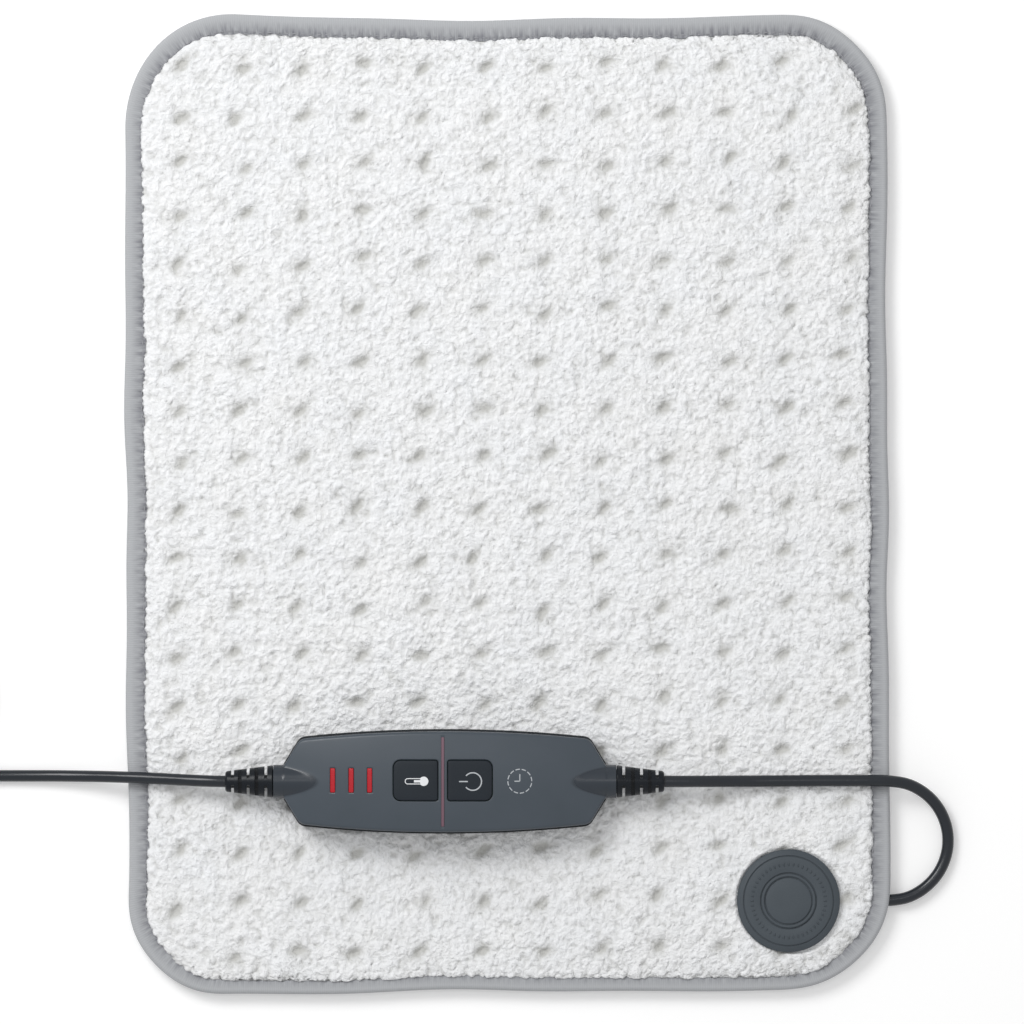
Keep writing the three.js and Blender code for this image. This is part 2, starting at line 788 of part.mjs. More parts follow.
function upperShell() {
  const outer = crownedBody(0, casePartingHeight + seam, 0, caseTopRounding);
  const belowParting = block(
    0, 0, 2 * bootStart, caseMidWidth, -gap, casePartingHeight + seam);
  const fairings = cut(join(fairing(1), fairing(-1)), belowParting);
  const cavity = crownedBody(caseWall, casePartingHeight - gap, caseWall, 0);
  const posts = screwPlaces().map(([x, y]) => {
    const ceiling = crown(Math.abs(x) + screwPostRadius, Math.abs(y) + screwPostRadius);
    return post(x, y, screwPostRadius, casePartingHeight + seam, ceiling - caseWall / 3);
  });
  const screwHoles = screwPlaces().map(([x, y]) =>
    post(x, y, screwRadius + gap, casePartingHeight - gap, casePartingHeight + screwBite + gap),
  );
  const buttonHoles = [-1, 1].map((side) =>
    loft([
      buttonLoop(side, gap, () => casePartingHeight),
      buttonLoop(side, gap, () => caseHeight + 1),
    ]),
  );
  const slotFloor = (x, y) => crown(x, y) - dividerDepth - gap;
  const dividerSlot = crownedBar(
    panelX, panelY, dividerWidth + 2 * gap, dividerLength + 2 * gap, slotFloor, caseWall);
  const lightSlots = Array.from({ length: lightCount }, (_, i) =>
    block(lightX(i), panelY, lightWidth + 2 * gap, lightLength + 2 * gap, casePartingHeight, caseHeight + 1),
  );
  const hollow = cut(join(outer, fairings), cavity);
  const panelHoles = [...buttonHoles, dividerSlot, ...lightSlots];
  return cut(join(hollow, ...posts), ...screwHoles, ...panelHoles, ...bootCuts(1), ...bootCuts(-1));
}

function lowerShell() {
  const top = casePartingHeight - seam;
  const rounding = caseBottomRounding;
  const outer = loft([
    caseLoop(rounding, () => 0),
    caseLoop(midFacet * rounding, () => midFacet * rounding),
    caseLoop(0, () => rounding),
    caseLoop(0, () => top),
  ]);
  const aboveParting = block(0, 0, 2 * bootStart, caseMidWidth, top, caseHeight);
  const fairings = cut(join(fairing(1), fairing(-1)), aboveParting);
  const cavity = loft([
    caseLoop(caseWall + rounding / 2, () => caseWall),
    caseLoop(caseWall, () => caseWall + rounding / 2),
    caseLoop(caseWall, () => casePartingHeight + gap),
  ]);
  const screwPosts = screwPlaces().map(([x, y]) => post(x, y, screwPostRadius, caseWall / 2, top));
  const boardPostX = boardEnd - boardPost.inset;
  const boardPosts = [-1, 1].flatMap((sx) =>
    [-1, 1].map((sy) =>
      post(sx * boardPostX, sy * boardPost.y, boardPost.radius, caseWall / 2, boardHeight - gap),
    ),
  );
  const headDepth = screwHead.height + 2 * gap;
  const screwHoles = screwPlaces().flatMap(([x, y]) => [
    post(x, y, screwRadius + gap, -gap, casePartingHeight + gap),
    post(x, y, screwHead.radius + gap, -gap, headDepth),
  ]);
  const hollow = cut(join(outer, fairings), cavity);
  return cut(join(hollow, ...screwPosts, ...boardPosts), ...screwHoles, ...bootCuts(1), ...bootCuts(-1));
}

// A push button: crowned cap, lip under the case's ceiling and a post over its switch.
function button(side) {
  const top = lipTop(side);
  const cap = loft([
    buttonLoop(side, 0, () => top - buttonLipThickness / 2),
    buttonLoop(side, 0, (x, y) => crown(x, y) + buttonProud - buttonEdge),
    buttonLoop(side, -buttonEdge, (x, y) => crown(x, y) + buttonProud),
  ]);
  const lip = loft([
    buttonLoop(side, buttonLip, () => top - buttonLipThickness),
    buttonLoop(side, buttonLip, () => top),
  ]);
  const stem = post(buttonX(side), panelY, buttonPostRadius, plungerTop + gap, top - buttonLipThickness / 2);
  return join(cap, lip, stem);
}

// A tactile switch body with the well that its plunger sinks into.
function tactileSwitch(side) {
  const x = buttonX(side);
  const body = block(x, panelY, switchSize, switchSize, seatHeight, switchTop);
  const well = post(x, panelY, plungerRadius + gap, plungerBottom - buttonTravel - gap, switchTop + gap);
  return cut(body, well);
}

function plunger(side) {
  return post(buttonX(side), panelY, plungerRadius, plungerBottom, plungerTop);
}

function divider() {
  return crownedBar(
    panelX, panelY, dividerWidth, dividerLength, (x, y) => crown(x, y) - dividerDepth, dividerProud);
}

function lightPipe(index) {
  return crownedBar(lightX(index), panelY, lightWidth, lightLength, () => ledTop + gap, lightProud);
}

function led(index) {
  return block(lightX(index), panelY, ledSize.length, ledSize.width, seatHeight, ledTop);
}

function circuitBoard() {
  return block(0, 0, 2 * boardEnd, boardWidth, boardHeight, boardTop);
}

// A boxed part near the board's right end.
function boardBox({ length, width, height, inset, y }) {
  return block(boardEnd - inset, y, length, width, seatHeight, seatHeight + height);
}

function fuse() {
  const z = seatHeight + fuseSize.radius;
  const x = fuseSize.inset - boardEnd;
  const half = fuseSize.length / 2;
  return barAlongX(fuseSize.y, z, fuseSize.radius, x - half, x + half);
}

// A wire block on the case's floor at one end of the board; side is +1 for the pad and -1 for the mains.
function wireBlock(side) {
  const x = side * (boardEnd + gap + blockSize.length / 2);
  const bottom = caseWall + gap;
  const top = bottom + blockSize.height;
  const body = block(x, 0, blockSize.length, blockSize.width, bottom, top);
  const wells = [-1, 1].map((row) =>
    post(x, (row * coreSpacing) / 2, coreRadius, casePartingHeight + coreRadius, top + gap, 10),
  );
  return cut(body, ...wells);
}

// The stripped lead inside the case: its jacket in the clamp and two cores that run to the wire block.
function leadTail(side) {
  const jacketOuter = side * (bootPocketEnd - gap - bootFlangeThickness - gap);
  const jacketInner = side * (clampX - clampSize.length / 2 - 2 * gap);
  const coreEnd = side * (boardEnd + gap + blockSize.length + gap);
  const jacket = barAlongX(0, casePartingHeight, leadRadius, jacketInner, jacketOuter);
  const cores = [-1, 1].map((row) =>
    barAlongX((row * coreSpacing) / 2, casePartingHeight, coreRadius, coreEnd, jacketInner + side * gap, 8),
  );
  return join(jacket, ...cores);
}

// The clamp that stands on the case's floor round the lead's jacket.
function leadClamp(side) {
  const bottom = caseWall + gap;
  const body = block(side * clampX, 0, clampSize.length, clampSize.width, bottom, bottom + clampSize.height);
  const half = clampSize.length / 2 + gap;
  const bore = barAlongX(
    0, casePartingHeight, leadRadius + gap, side * (clampX - half), side * (clampX + half));
  return cut(body, bore);
}

// A segmented boot: flange and neck in the case, then rings on a core that taper towards the lead.
function boot(side) {
  const flangeOuter = bootPocketEnd - gap;
  const profile = [
    [0, flangeOuter - bootFlangeThickness],
    [bootFlangeRadius, flangeOuter - bootFlangeThickness],
    [bootFlangeRadius, flangeOuter],
    [bootNeckRadius, flangeOuter],
    [bootNeckRadius, bootStart],
  ];
  const ringPitch = (bootLength + bootSlot) / bootRings;
  const radiusAt = (along) => fairingRadius + ((bootTipRadius - fairingRadius) * along) / bootLength;
  for (let ring = 0; ring < bootRings; ring++) {
    const from = ring * ringPitch;
    const to = from + ringPitch - bootSlot;
    if (ring > 0) profile.push([bootCoreRadius, bootStart + from]);
    profile.push([radiusAt(from), bootStart + from]);
    profile.push([radiusAt(to), bootStart + to]);
    if (ring + 1 < bootRings) profile.push([bootCoreRadius, bootStart + to]);
  }
  profile.push([0, bootStart + bootLength]);
  const turnToX = side > 0 ? [0, 90, 0] : [0, -90, 0];
  return turned(profile, 16).rotate(turnToX).translate([0, 0, casePartingHeight]);
}

function shellScrew(place) {
  const [x, y] = screwPlaces()[place];
  return screw(x, y, screwHead, screwRadius, gap, casePartingHeight + screwBite);
}

// The coil's ring: room for its columns and layers of turns, with eased corners.
function coilRing() {
  const halfWidth = ((coilColumns - 1) * coilTurnPitch) / 2 + leadRadius;
  const bottom = tieThickness + gap;
  const top = bottom + (coilLayers - 1) * coilTurnPitch + leadDiameter;
  const inner = coilMeanRadius - halfWidth;
  const outer = coilMeanRadius + halfWidth;
  const ease = leadRadius / 2;
  return turned(
    [
      [inner + ease, bottom],
      [outer - ease, bottom],
      [outer, bottom + ease],
      [outer, top - ease],
      [outer - ease, top],
      [inner + ease, top],
      [inner, top - ease],
      [inner, bottom + ease],
      [inner + ease, bottom],
    ],
    36,
  ).translate([coilX, coilY, 0]);
}

// A tie strap round the coil's section, standing on the table.
function coilTie() {
  const halfSection = ((coilColumns - 1) * coilTurnPitch) / 2 + leadRadius;
  const inner = coilMeanRadius - halfSection;
  const bow = (tieWidth * tieWidth) / 8 / inner;
  const halfInside = halfSection + bow + gap;
  const height = (coilLayers - 1) * coilTurnPitch + leadDiameter + 2 * gap;
  const outside = block(
    coilMeanRadius, 0, 2 * (halfInside + tieThickness), tieWidth, 0, height + 2 * tieThickness);
  const inside = block(coilMeanRadius, 0, 2 * halfInside, 2 * tieWidth, tieThickness, tieThickness + height);
  return cut(outside, inside).rotate([0, 0, tieAngle]).translate([coilX, coilY, 0]);
}

// A rounded section of the plug at a place along it, wider than thick.
function plugLoop(halfWidth, halfThickness, squareness, along) {
  const count = 20;
  return Array.from({ length: count }, (_, i) => {
    const angle = (i / count) * 2 * Math.PI;
    const round = (value) => Math.sign(value) * Math.abs(value) ** (2 / squareness);
    return [halfWidth * round(Math.cos(angle)), halfThickness * round(Math.sin(angle)), along];
  });
}

function plugBody() {
  const halfWidth = plugWidth / 2;
  const halfThickness = plugThickness / 2;
  const front = plugBootLength + plugBodyLength;
  const shoulder = plugBootLength + plugBodyLength * 0.6;
  const body = loft([
    plugLoop(plugBootRadius, plugBootRadius, 2, 0),
    plugLoop(plugBootRadius * 1.35, plugBootRadius * 1.35, 2, plugBootLength),
    plugLoop(halfWidth * 0.48, halfThickness * 0.82, 2.2, plugBootLength + plugBodyLength * 0.1),
    plugLoop(halfWidth * 0.8, halfThickness * 0.95, 2.6, plugBootLength + plugBodyLength * 0.35),
    plugLoop(halfWidth, halfThickness, 3, shoulder),
    plugLoop(halfWidth, halfThickness, 3, front - 1),
    plugLoop(halfWidth - 1, halfThickness - 1, 3, front),
  ]);
  const roots = [-1, 1].map((side) =>
    post((side * pinSpacing) / 2, 0, pinCoreRadius + gap, front - pinRoot, front + gap),
  );
  return cut(body, ...roots);
}

function plugPin(side) {
  const front = plugBootLength + plugBodyLength;
  const neckEnd = front + sleeveLength + 2 * gap;
  const tip = front + pinLength;
  return turned(
    [
      [0, front - pinRoot + gap],
      [pinCoreRadius, front - pinRoot + gap],
      [pinCoreRadius, neckEnd],
      [pinRadius, neckEnd],
      [pinRadius, tip - pinRadius / 2],
      [pinRadius / 2, tip],
      [0, tip],
    ],
    14,
  ).translate([(side * pinSpacing) / 2, 0, 0]);
}

function plugSleeve(side) {
  const front = plugBootLength + plugBodyLength + gap;
  const inner = pinCoreRadius + gap;
  const outer = inner + sleeveWall;
  return turned(
    [
      [inner, front],
      [outer, front],
      [outer, front + sleeveLength],
      [inner, front + sleeveLength],
      [inner, front],
    ],
    14,
  ).translate([(side * pinSpacing) / 2, 0, 0]);
}

// Finishes: colour, roughness and metalness
const finishes = {
  fleece: [0xe6e7e8, 0.95, 0],
  felt: [0xd9d6cd, 0.95, 0],
  binding: [0xabacae, 0.9, 0],
  wire: [0x8a4a3a, 0.6, 0],
  caseGrey: [0x555d63, 0.5, 0],
  buttonGrey: [0x343b42, 0.45, 0],
  rubber: [0x1e232a, 0.6, 0],
  cord: [0x23262b, 0.4, 0],
  redLight: [0xc01626, 0.3, 0],
  dividerRed: [0x8a5560, 0.4, 0],
  boardGreen: [0x2f6b45, 0.6, 0],
  partBlack: [0x24262a, 0.5, 0],
  partWhite: [0xe9e6da, 0.6, 0],
  partBlue: [0x3a5f9a, 0.5, 0],
  steel: [0xb8babd, 0.35, 1],
  nickel: [0xc9c6bd, 0.25, 1],
};

// Adds a named piece to a group.
function add(group, name, finish, body) {
  const [color, roughness, metalness] = finishes[finish];
  const material = new THREE.MeshStandardMaterial({ color, roughness, metalness });
  const mesh = new THREE.Mesh(body.isBufferGeometry ? body : geometryOf(body), material);
  mesh.name = name;
  group.add(mesh);
}

function padGroup() {
  const group = new THREE.Group();
  add(group, "front_cover", "fleece", frontCover());
  add(group, "upper_wadding", "felt", innerLayer(waddingBottom, waddingTop));
  add(group, "heating_wire", "wire", heatingWire());
  add(group, "wire_carrier", "felt", innerLayer(carrierBottom, carrierTop));
  add(group, "rear_cover", "fleece", rearCover());
  add(group, "edge_binding", "binding", edgeBinding());
  add(group, "coupling_cap", "caseGrey", couplingCap());
  add(group, "coupling_base", "caseGrey", couplingBase());
  add(group, "coupling_terminal", "partWhite", couplingTerminal());
  add(group, "overheat_cutout", "steel", overheatCutout());
  couplingScrewAngles.forEach((_, i) => add(group, `coupling_screw_${i + 1}`, "steel", couplingScrew(i)));
  return group;
}

function controllerGroup() {
  const group = new THREE.Group();
  group.position.set(controllerX, controllerY, controllerZ);
  add(group, "upper_shell", "caseGrey", upperShell());
  add(group, "lower_shell", "caseGrey", lowerShell());
  for (const [word, side] of [["temperature", -1], ["power", 1]]) {
    add(group, `${word}_button`, "buttonGrey", button(side));
    add(group, `${word}_plunger`, "partBlack", plunger(side));
    add(group, `${word}_switch`, "partBlack", tactileSwitch(side));
  }
  add(group, "divider_strip", "dividerRed", divider());
  for (let i = 0; i < lightCount; i++) {
    add(group, `light_pipe_${i + 1}`, "redLight", lightPipe(i));
    add(group, `led_${i + 1}`, "partWhite", led(i));
  }
  add(group, "circuit_board", "boardGreen", circuitBoard());
  add(group, "control_chip", "partBlack", boardBox(chipSize));
  add(group, "triac", "partBlack", boardBox(triacSize));
  add(group, "capacitor", "partBlue", boardBox(capacitorSize));
  add(group, "fuse", "partWhite", fuse());
  for (const [word, side] of [["pad", 1], ["mains", -1]]) {
    add(group, `${word}_wire_block`, "partWhite", wireBlock(side));
    add(group, `${word}_lead_tail`, "cord", leadTail(side));
    add(group, `${word}_lead_clamp`, "partBlack", leadClamp(side));
    add(group, `${word}_lead_boot`, "rubber", boot(side));
  }
  screwPlaces().forEach((_, i) => add(group, `shell_screw_${i + 1}`, "steel", shellScrew(i)));
  return group;
}

function leadGroup() {
  const group = new THREE.Group();
  add(group, "pad_lead", "cord", leadAlong(padLeadRoute));
  add(group, "mains_lead", "cord", leadAlong(mainsLeadRoute));
  add(group, "mains_coil", "cord", coilRing());
  add(group, "coil_tie", "partBlack", coilTie());
  add(group, "plug_tail", "cord", leadAlong(plugTailRoute));
  const plug = new THREE.Group();
  plug.position.set(plugX, plugY, plugThickness / 2);
  plug.rotation.x = -Math.PI / 2;
  add(plug, "plug_body", "rubber", plugBody());
  [-1, 1].forEach((side, i) => {
    add(plug, `plug_pin_${i + 1}`, "nickel", plugPin(side));
    add(plug, `plug_sleeve_${i + 1}`, "partBlack", plugSleeve(side));
  });
  group.add(plug);
  return group;
}

const heatingPad = new THREE.Group();
heatingPad.add(padGroup(), controllerGroup(), leadGroup());

export default heatingPad;
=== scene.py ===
# %% [markdown]
# # Dressing a heating pad and its hand controller
# The pad was built first as plain solids, tied to the bodies that move. This lesson lays the finished
# look over that frame: curly fleece, bound edge, moulded case, soft boots, leads, coil and plug. Every new
# piece is a surface worked out with numpy in the frame's own metres, so nothing is fitted afterwards.

# %% Load the imported part
import math

import bpy
import numpy as np
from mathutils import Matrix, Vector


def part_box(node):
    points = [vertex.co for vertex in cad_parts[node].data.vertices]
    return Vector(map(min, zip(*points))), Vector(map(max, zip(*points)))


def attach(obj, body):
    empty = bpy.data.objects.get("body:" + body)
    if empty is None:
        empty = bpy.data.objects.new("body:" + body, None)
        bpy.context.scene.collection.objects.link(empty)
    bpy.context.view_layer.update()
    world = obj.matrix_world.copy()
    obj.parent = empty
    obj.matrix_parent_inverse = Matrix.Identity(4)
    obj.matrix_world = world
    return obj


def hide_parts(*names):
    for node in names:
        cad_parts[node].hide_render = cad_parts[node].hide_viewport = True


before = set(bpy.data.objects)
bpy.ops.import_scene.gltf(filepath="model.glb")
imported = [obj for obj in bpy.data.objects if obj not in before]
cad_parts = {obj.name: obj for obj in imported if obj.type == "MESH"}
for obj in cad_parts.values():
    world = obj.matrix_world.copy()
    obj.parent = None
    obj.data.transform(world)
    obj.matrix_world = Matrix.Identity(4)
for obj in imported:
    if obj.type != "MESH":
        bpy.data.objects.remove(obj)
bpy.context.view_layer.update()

MM = 0.001

# %% [markdown]
# ## From arrays to meshes
# A surface here is a grid of points: rows by columns. Rows or columns that wrap join their last line to
# the first, as round a tube, and lids close the two ends. Blender can make such grids with operators, but
# arrays keep the formula in sight and are quick. The mesh is turned over if its faces point inwards.


# %% Grids of points become mesh objects
def face_vectors(points, corners):
    """Area vectors of quads: half the cross product of each quad's diagonals."""
    a, b, c, d = (points[corners[:, i]] for i in range(4))
    return np.cross(c - a, d - b) / 2, (a + b + c + d) / 4


def put_mesh(name, points, corners, starts, corner_uv, sharp):
    """A smooth mesh object at the origin, from points in metres and the corners of its faces."""
    mesh = bpy.data.meshes.new(name)
    mesh.vertices.add(len(points))
    mesh.vertices.foreach_set("co", points.astype(np.float32).ravel())
    mesh.loops.add(len(corners))
    mesh.loops.foreach_set("vertex_index", corners.astype(np.int32))
    mesh.polygons.add(len(starts))
    mesh.polygons.foreach_set("loop_start", starts.astype(np.int32))
    mesh.update(calc_edges=True)
    mesh.uv_layers.new(name="surface").data.foreach_set("uv", corner_uv.astype(np.float32).ravel())
    mesh.shade_smooth()
    mesh.set_sharp_from_angle(angle=math.radians(sharp))
    thing = bpy.data.objects.new(name, mesh)
    bpy.context.scene.collection.objects.link(thing)
    return thing


def surface(name, grid, wrap_rows=False, wrap_columns=False, close="", span=(1.0, 1.0), faces="out",
            keep=None, extra=None, sharp=50):
    """Joins a grid of points into quads, or each of several like grids. The UV map runs from 0 to span
    along the columns and rows, or through the places that span lists. close adds a face over both end
    rows ("ends") or inside the whole rim ("rim"), keep says which quads stay, and extra adds quads. The
    faces are turned to point out of the volume, or up or down. Edges that bend by more than sharp degrees
    are shaded sharp."""
    copies, rows, columns = (1, *grid.shape[:2]) if grid.ndim == 3 else grid.shape[:3]
    points = grid.reshape(-1, 3)
    row_steps = rows if wrap_rows else rows - 1
    column_steps = columns if wrap_columns else columns - 1
    r, c = (a.ravel() for a in np.meshgrid(np.arange(row_steps), np.arange(column_steps), indexing="ij"))
    corner_r = np.stack([r, r, r + 1, r + 1], axis=1)
    corner_c = np.stack([c, c + 1, c + 1, c], axis=1)
    corners = (corner_r % rows) * columns + corner_c % columns
    lines = [np.linspace(0, far, steps + 1) if np.isscalar(far) else far
             for far, steps in zip(span, (column_steps, row_steps))]
    uv = np.stack([lines[0][corner_c], lines[1][corner_r]], axis=2)
    vectors, middles = face_vectors(points, corners)
    middle = points[:rows * columns].mean(0)
    rising = vectors[:, 2].sum()
    outward = {"out": (vectors * (middles - middle)).sum(), "up": rising, "down": -rising}
    inward = outward[faces] < 0
    if keep is not None:
        corners, uv = corners[keep], uv[keep]
    if extra is not None:
        corners, uv = np.concatenate([corners, extra]), np.concatenate([uv, np.zeros((len(extra), 4, 2))])
    order = np.arange(rows * columns).reshape(rows, columns)
    rims = {"": [], "ends": [order[0, ::-1], order[-1]],
            "rim": [np.concatenate([
                order[:, 0], order[-1, 1:], order[-2::-1, -1], order[0, -2:0:-1]])]}[close]
    loops = np.concatenate([face[::-1] if inward else face for face in [*corners, *rims]])
    sizes = np.array([len(face) for face in [*corners, *rims]])
    uv = uv[:, ::-1] if inward else uv
    loop_uv = np.concatenate([uv.reshape(-1, 2), np.zeros((loops.size - corners.size, 2))])
    shift = np.arange(copies)[:, None] * rows * columns
    starts = np.concatenate([[0], np.cumsum(np.tile(sizes, copies))[:-1]])
    return put_mesh(name, points, (loops[None] + shift).ravel(), starts, np.tile(loop_uv, (copies, 1)), sharp)


def mark_points(thing, attribute, values):
    """Stores one value for each of a mesh's points, which a material can read."""
    stored = thing.data.attributes.new(attribute, "FLOAT", "POINT")
    stored.data.foreach_set("value", values.astype(np.float32).ravel())
    return thing


def dress(thing, material, body="pad", stands_for=()):
    """Gives a piece its material, ties it to its body and hides the solids it stands for."""
    thing.data.materials.append(material)
    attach(thing, body)
    if stands_for:
        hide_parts(*stands_for)
    print(f"{thing.name}: {len(thing.data.polygons)} faces on {body}")
    return thing


unit_square = np.array([[0, 0, 0], [1, 0, 0], [1, 1, 0], [0, 1, 0]])
print("area vector of a unit square:", face_vectors(unit_square, np.arange(4)[None])[0][0])


# %% [markdown]
# ## Materials from nodes
# One small function adds a node, sets it and links it. Colours are written as sRGB hex, as read on a
# screen, and turned to the linear values that shaders need. Pattern sizes are written in millimetres.


# %% Node helper, colours and pattern scales
def linear(hex_colour):
    """sRGB hex to linear RGBA: the standard curve, a straight foot and a power of 2.4 above it."""
    srgb = np.array([int(hex_colour[i:i + 2], 16) for i in (1, 3, 5)]) / 255
    rgb = np.where(srgb <= 0.04045, srgb / 12.92, ((srgb + 0.055) / 1.055) ** 2.4)
    return (*rgb.tolist(), 1.0)


def add_node(tree, kind, inputs=None, **settings):
    """Adds a node, sets its properties, and links or sets each named input."""
    node = tree.nodes.new(kind)
    for key, value in settings.items():
        setattr(node, key, value)
    for key, value in (inputs or {}).items():
        if isinstance(value, bpy.types.NodeSocket):
            tree.links.new(value, node.inputs[key])
        else:
            node.inputs[key].default_value = value
    return node


def per_metre(size_mm):
    """Noise scale that makes one blotch about this many millimetres wide."""
    return 1000 / size_mm


def new_material(name, **shader_inputs):
    """An empty material whose principled shader has these constant inputs."""
    material = bpy.data.materials.new(name)
    material.use_nodes = True
    tree = material.node_tree
    shader = tree.nodes["Principled BSDF"]
    for key, value in shader_inputs.items():
        shader.inputs[key.replace("_", " ")].default_value = value
    return material, tree, shader


def moulded(name, light, dark, grain_mm, relief_mm, smooth, rough, marked=None, **shader_inputs):
    """A moulded plastic or rubber: close shades in slow flow marks, and a fine mould grain that varies
    the gloss and stands up as relief. The grain is drawn coarse enough to show. marked names a mesh
    attribute and the colour and roughness that the surface takes where the attribute is 1."""
    material, tree, shader = new_material(name, **shader_inputs)
    place = add_node(tree, "ShaderNodeTexCoord").outputs["Object"]
    flow = add_node(tree, "ShaderNodeTexNoise", {"Vector": place, "Scale": per_metre(14), "Detail": 3.0})
    grain = add_node(tree, "ShaderNodeTexNoise", {
        "Vector": place, "Scale": per_metre(grain_mm), "Detail": 2.0})
    shade = add_node(tree, "ShaderNodeMix", {"Factor": flow.outputs["Fac"]}, data_type="RGBA")
    shade.inputs["A"].default_value = linear(dark)
    shade.inputs["B"].default_value = linear(light)
    gloss = add_node(tree, "ShaderNodeMapRange", {
        "Value": grain.outputs["Fac"], "From Min": 0.3, "From Max": 0.7, "To Min": smooth, "To Max": rough})
    relief = add_node(tree, "ShaderNodeBump", {
        "Height": grain.outputs["Fac"], "Strength": 1.0, "Distance": relief_mm * MM})
    if marked:
        mark = add_node(tree, "ShaderNodeAttribute", attribute_name=marked[0])
        shade = add_node(tree, "ShaderNodeMix", {"Factor": mark.outputs["Fac"], "A": shade.outputs["Result"]},
                         data_type="RGBA")
        shade.inputs["B"].default_value = linear(marked[1])
        gloss = add_node(tree, "ShaderNodeMix", {"Factor": mark.outputs["Fac"], "A": gloss.outputs["Result"],
                                                 "B": marked[2]})
    tree.links.new(shade.outputs["Result"], shader.inputs["Base Color"])
    tree.links.new(gloss.outputs["Result"], shader.inputs["Roughness"])
    tree.links.new(relief.outputs["Normal"], shader.inputs["Normal"])
    return material


print("mid grey on a screen is", round(linear("#808080")[0], 3), "in linear light")

# %% [markdown]
# ## Camera
# The photograph looks straight down on the pad from far away. A long lens on a camera six metres up keeps
# the edges from spreading, and its field is worked out from the width that the picture shows.

# %% A long lens straight above
VIEW_WIDTH = 421.4 * MM
VIEW_CENTRE = (2.5 * MM, -3.3 * MM)
CAMERA_HEIGHT = 6.0
pad_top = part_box("front_cover")[1].z
lens = bpy.data.cameras.new("overhead")
lens.sensor_width = 36
lens.lens = lens.sensor_width * CAMERA_HEIGHT / VIEW_WIDTH
camera = bpy.data.objects.new("overhead", lens)
camera.location = (*VIEW_CENTRE, CAMERA_HEIGHT + pad_top)
bpy.context.scene.collection.objects.link(camera)
bpy.context.scene.camera = camera
print(f"lens {lens.lens:.1f} mm")

# %% [markdown]
# ## Leads
# Both leads are round mains cable in a black jacket. Their free stretches follow listed points, the same as
# the solids follow. The mains lead goes on as a neat coil of two layers, so its turns are worked out: the
# radius eases in by one pitch in each round of the lower layer, the innermost turn climbs, and the radius
# eases out again in each round of the upper layer. The turns never come closer than a pitch.

# %% The leads' routes
LEAD_DIAMETER = 4.8 * MM
PAD_LEAD_ROUTE = [
    (0.0649, -0.114, 0.0203), (0.072, -0.114, 0.0201), (0.082, -0.114, 0.0185), (0.093, -0.114, 0.0157),
    (0.104, -0.114, 0.0138), (0.116, -0.1139, 0.01325), (0.130, -0.1138, 0.01325),
    (0.141, -0.1138, 0.0132), (0.149, -0.1138, 0.0125), (0.1575, -0.114, 0.0112),
    (0.1659, -0.1155, 0.0094), (0.1733, -0.1198, 0.0068), (0.1788, -0.1263, 0.0045),
    (0.1818, -0.1344, 0.0031), (0.1818, -0.1429, 0.0027), (0.1788, -0.151, 0.0028),
    (0.1733, -0.1575, 0.0031), (0.1659, -0.1619, 0.0035), (0.1575, -0.1633, 0.0037),
    (0.148, -0.1633, 0.0037), (0.140, -0.1633, 0.0037), (0.1324, -0.1633, 0.0037),
]
MAINS_LEAD_ROUTE = [
    (-0.1151, -0.114, 0.0203), (-0.121, -0.1139, 0.0201), (-0.129, -0.1136, 0.0186),
    (-0.137, -0.1132, 0.0163), (-0.144, -0.1129, 0.0143), (-0.151, -0.1126, 0.0125),
    (-0.158, -0.1124, 0.0107), (-0.166, -0.1122, 0.0083), (-0.175, -0.1121, 0.0058),
    (-0.185, -0.112, 0.004), (-0.196, -0.112, 0.0031), (-0.208, -0.112, 0.0028), (-0.220, -0.112, 0.0031),
    (-0.2325, -0.112, 0.0035),
]
PLUG_TAIL_ROUTE = [
    (-0.28785, -0.0569, 0.0083), (-0.287, -0.0495, 0.008), (-0.2838, -0.042, 0.0076),
    (-0.2786, -0.035, 0.0072), (-0.273, -0.0283, 0.00695), (-0.2692, -0.022, 0.00685),
    (-0.268, -0.0166, 0.00685), (-0.268, -0.0125, 0.00685),
]


# %% One smooth line through a route, and the coil's turns
def smooth_line(points, step):
    """Points at an even step on the Catmull-Rom curve: each stretch is the cubic whose end slopes are
    half the chord between the neighbours on either side."""
    points = np.array(points)
    padded = np.concatenate([2 * points[:1] - points[1:2], points, 2 * points[-1:] - points[-2:-1]])
    t = np.linspace(0, 1, 24, endpoint=False)[None, :, None]
    p0, p1, p2, p3 = (padded[i:len(padded) - 3 + i, None] for i in range(4))
    fine = 0.5 * (2 * p1 + (p2 - p0) * t + (2 * p0 - 5 * p1 + 4 * p2 - p3) * t**2
                  + (3 * p1 - p0 - 3 * p2 + p3) * t**3)
    fine = np.concatenate([fine.reshape(-1, 3), points[-1:]])
    along = np.concatenate([[0], np.cumsum(np.linalg.norm(np.diff(fine, axis=0), axis=1))])
    places = np.linspace(0, along[-1], max(int(round(along[-1] / step)), 2) + 1)
    return np.stack([np.interp(places, along, fine[:, i]) for i in range(3)], axis=1)


def ease(value, start, end):
    """Smooth step from 0 at start to 1 at end."""
    share = np.clip((value - start) / (end - start), 0, 1)
    return share * share * (3 - 2 * share)


COIL_PITCH = 4.9 * MM
COIL_COLUMNS = 4
COIL_TURNS = 7.25
EASE_IN, EASE_OUT, CLIMB = (0.65, 1.0), (0.25, 0.60), (0.45, 0.80)  # shares of a turn
coil_low, coil_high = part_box("mains_coil")
coil_x, coil_y = (coil_low.x + coil_high.x) / 2, (coil_low.y + coil_high.y) / 2
coil_outer = (coil_high.x - coil_low.x - LEAD_DIAMETER) / 2
coil_floor = coil_low.z + LEAD_DIAMETER / 2


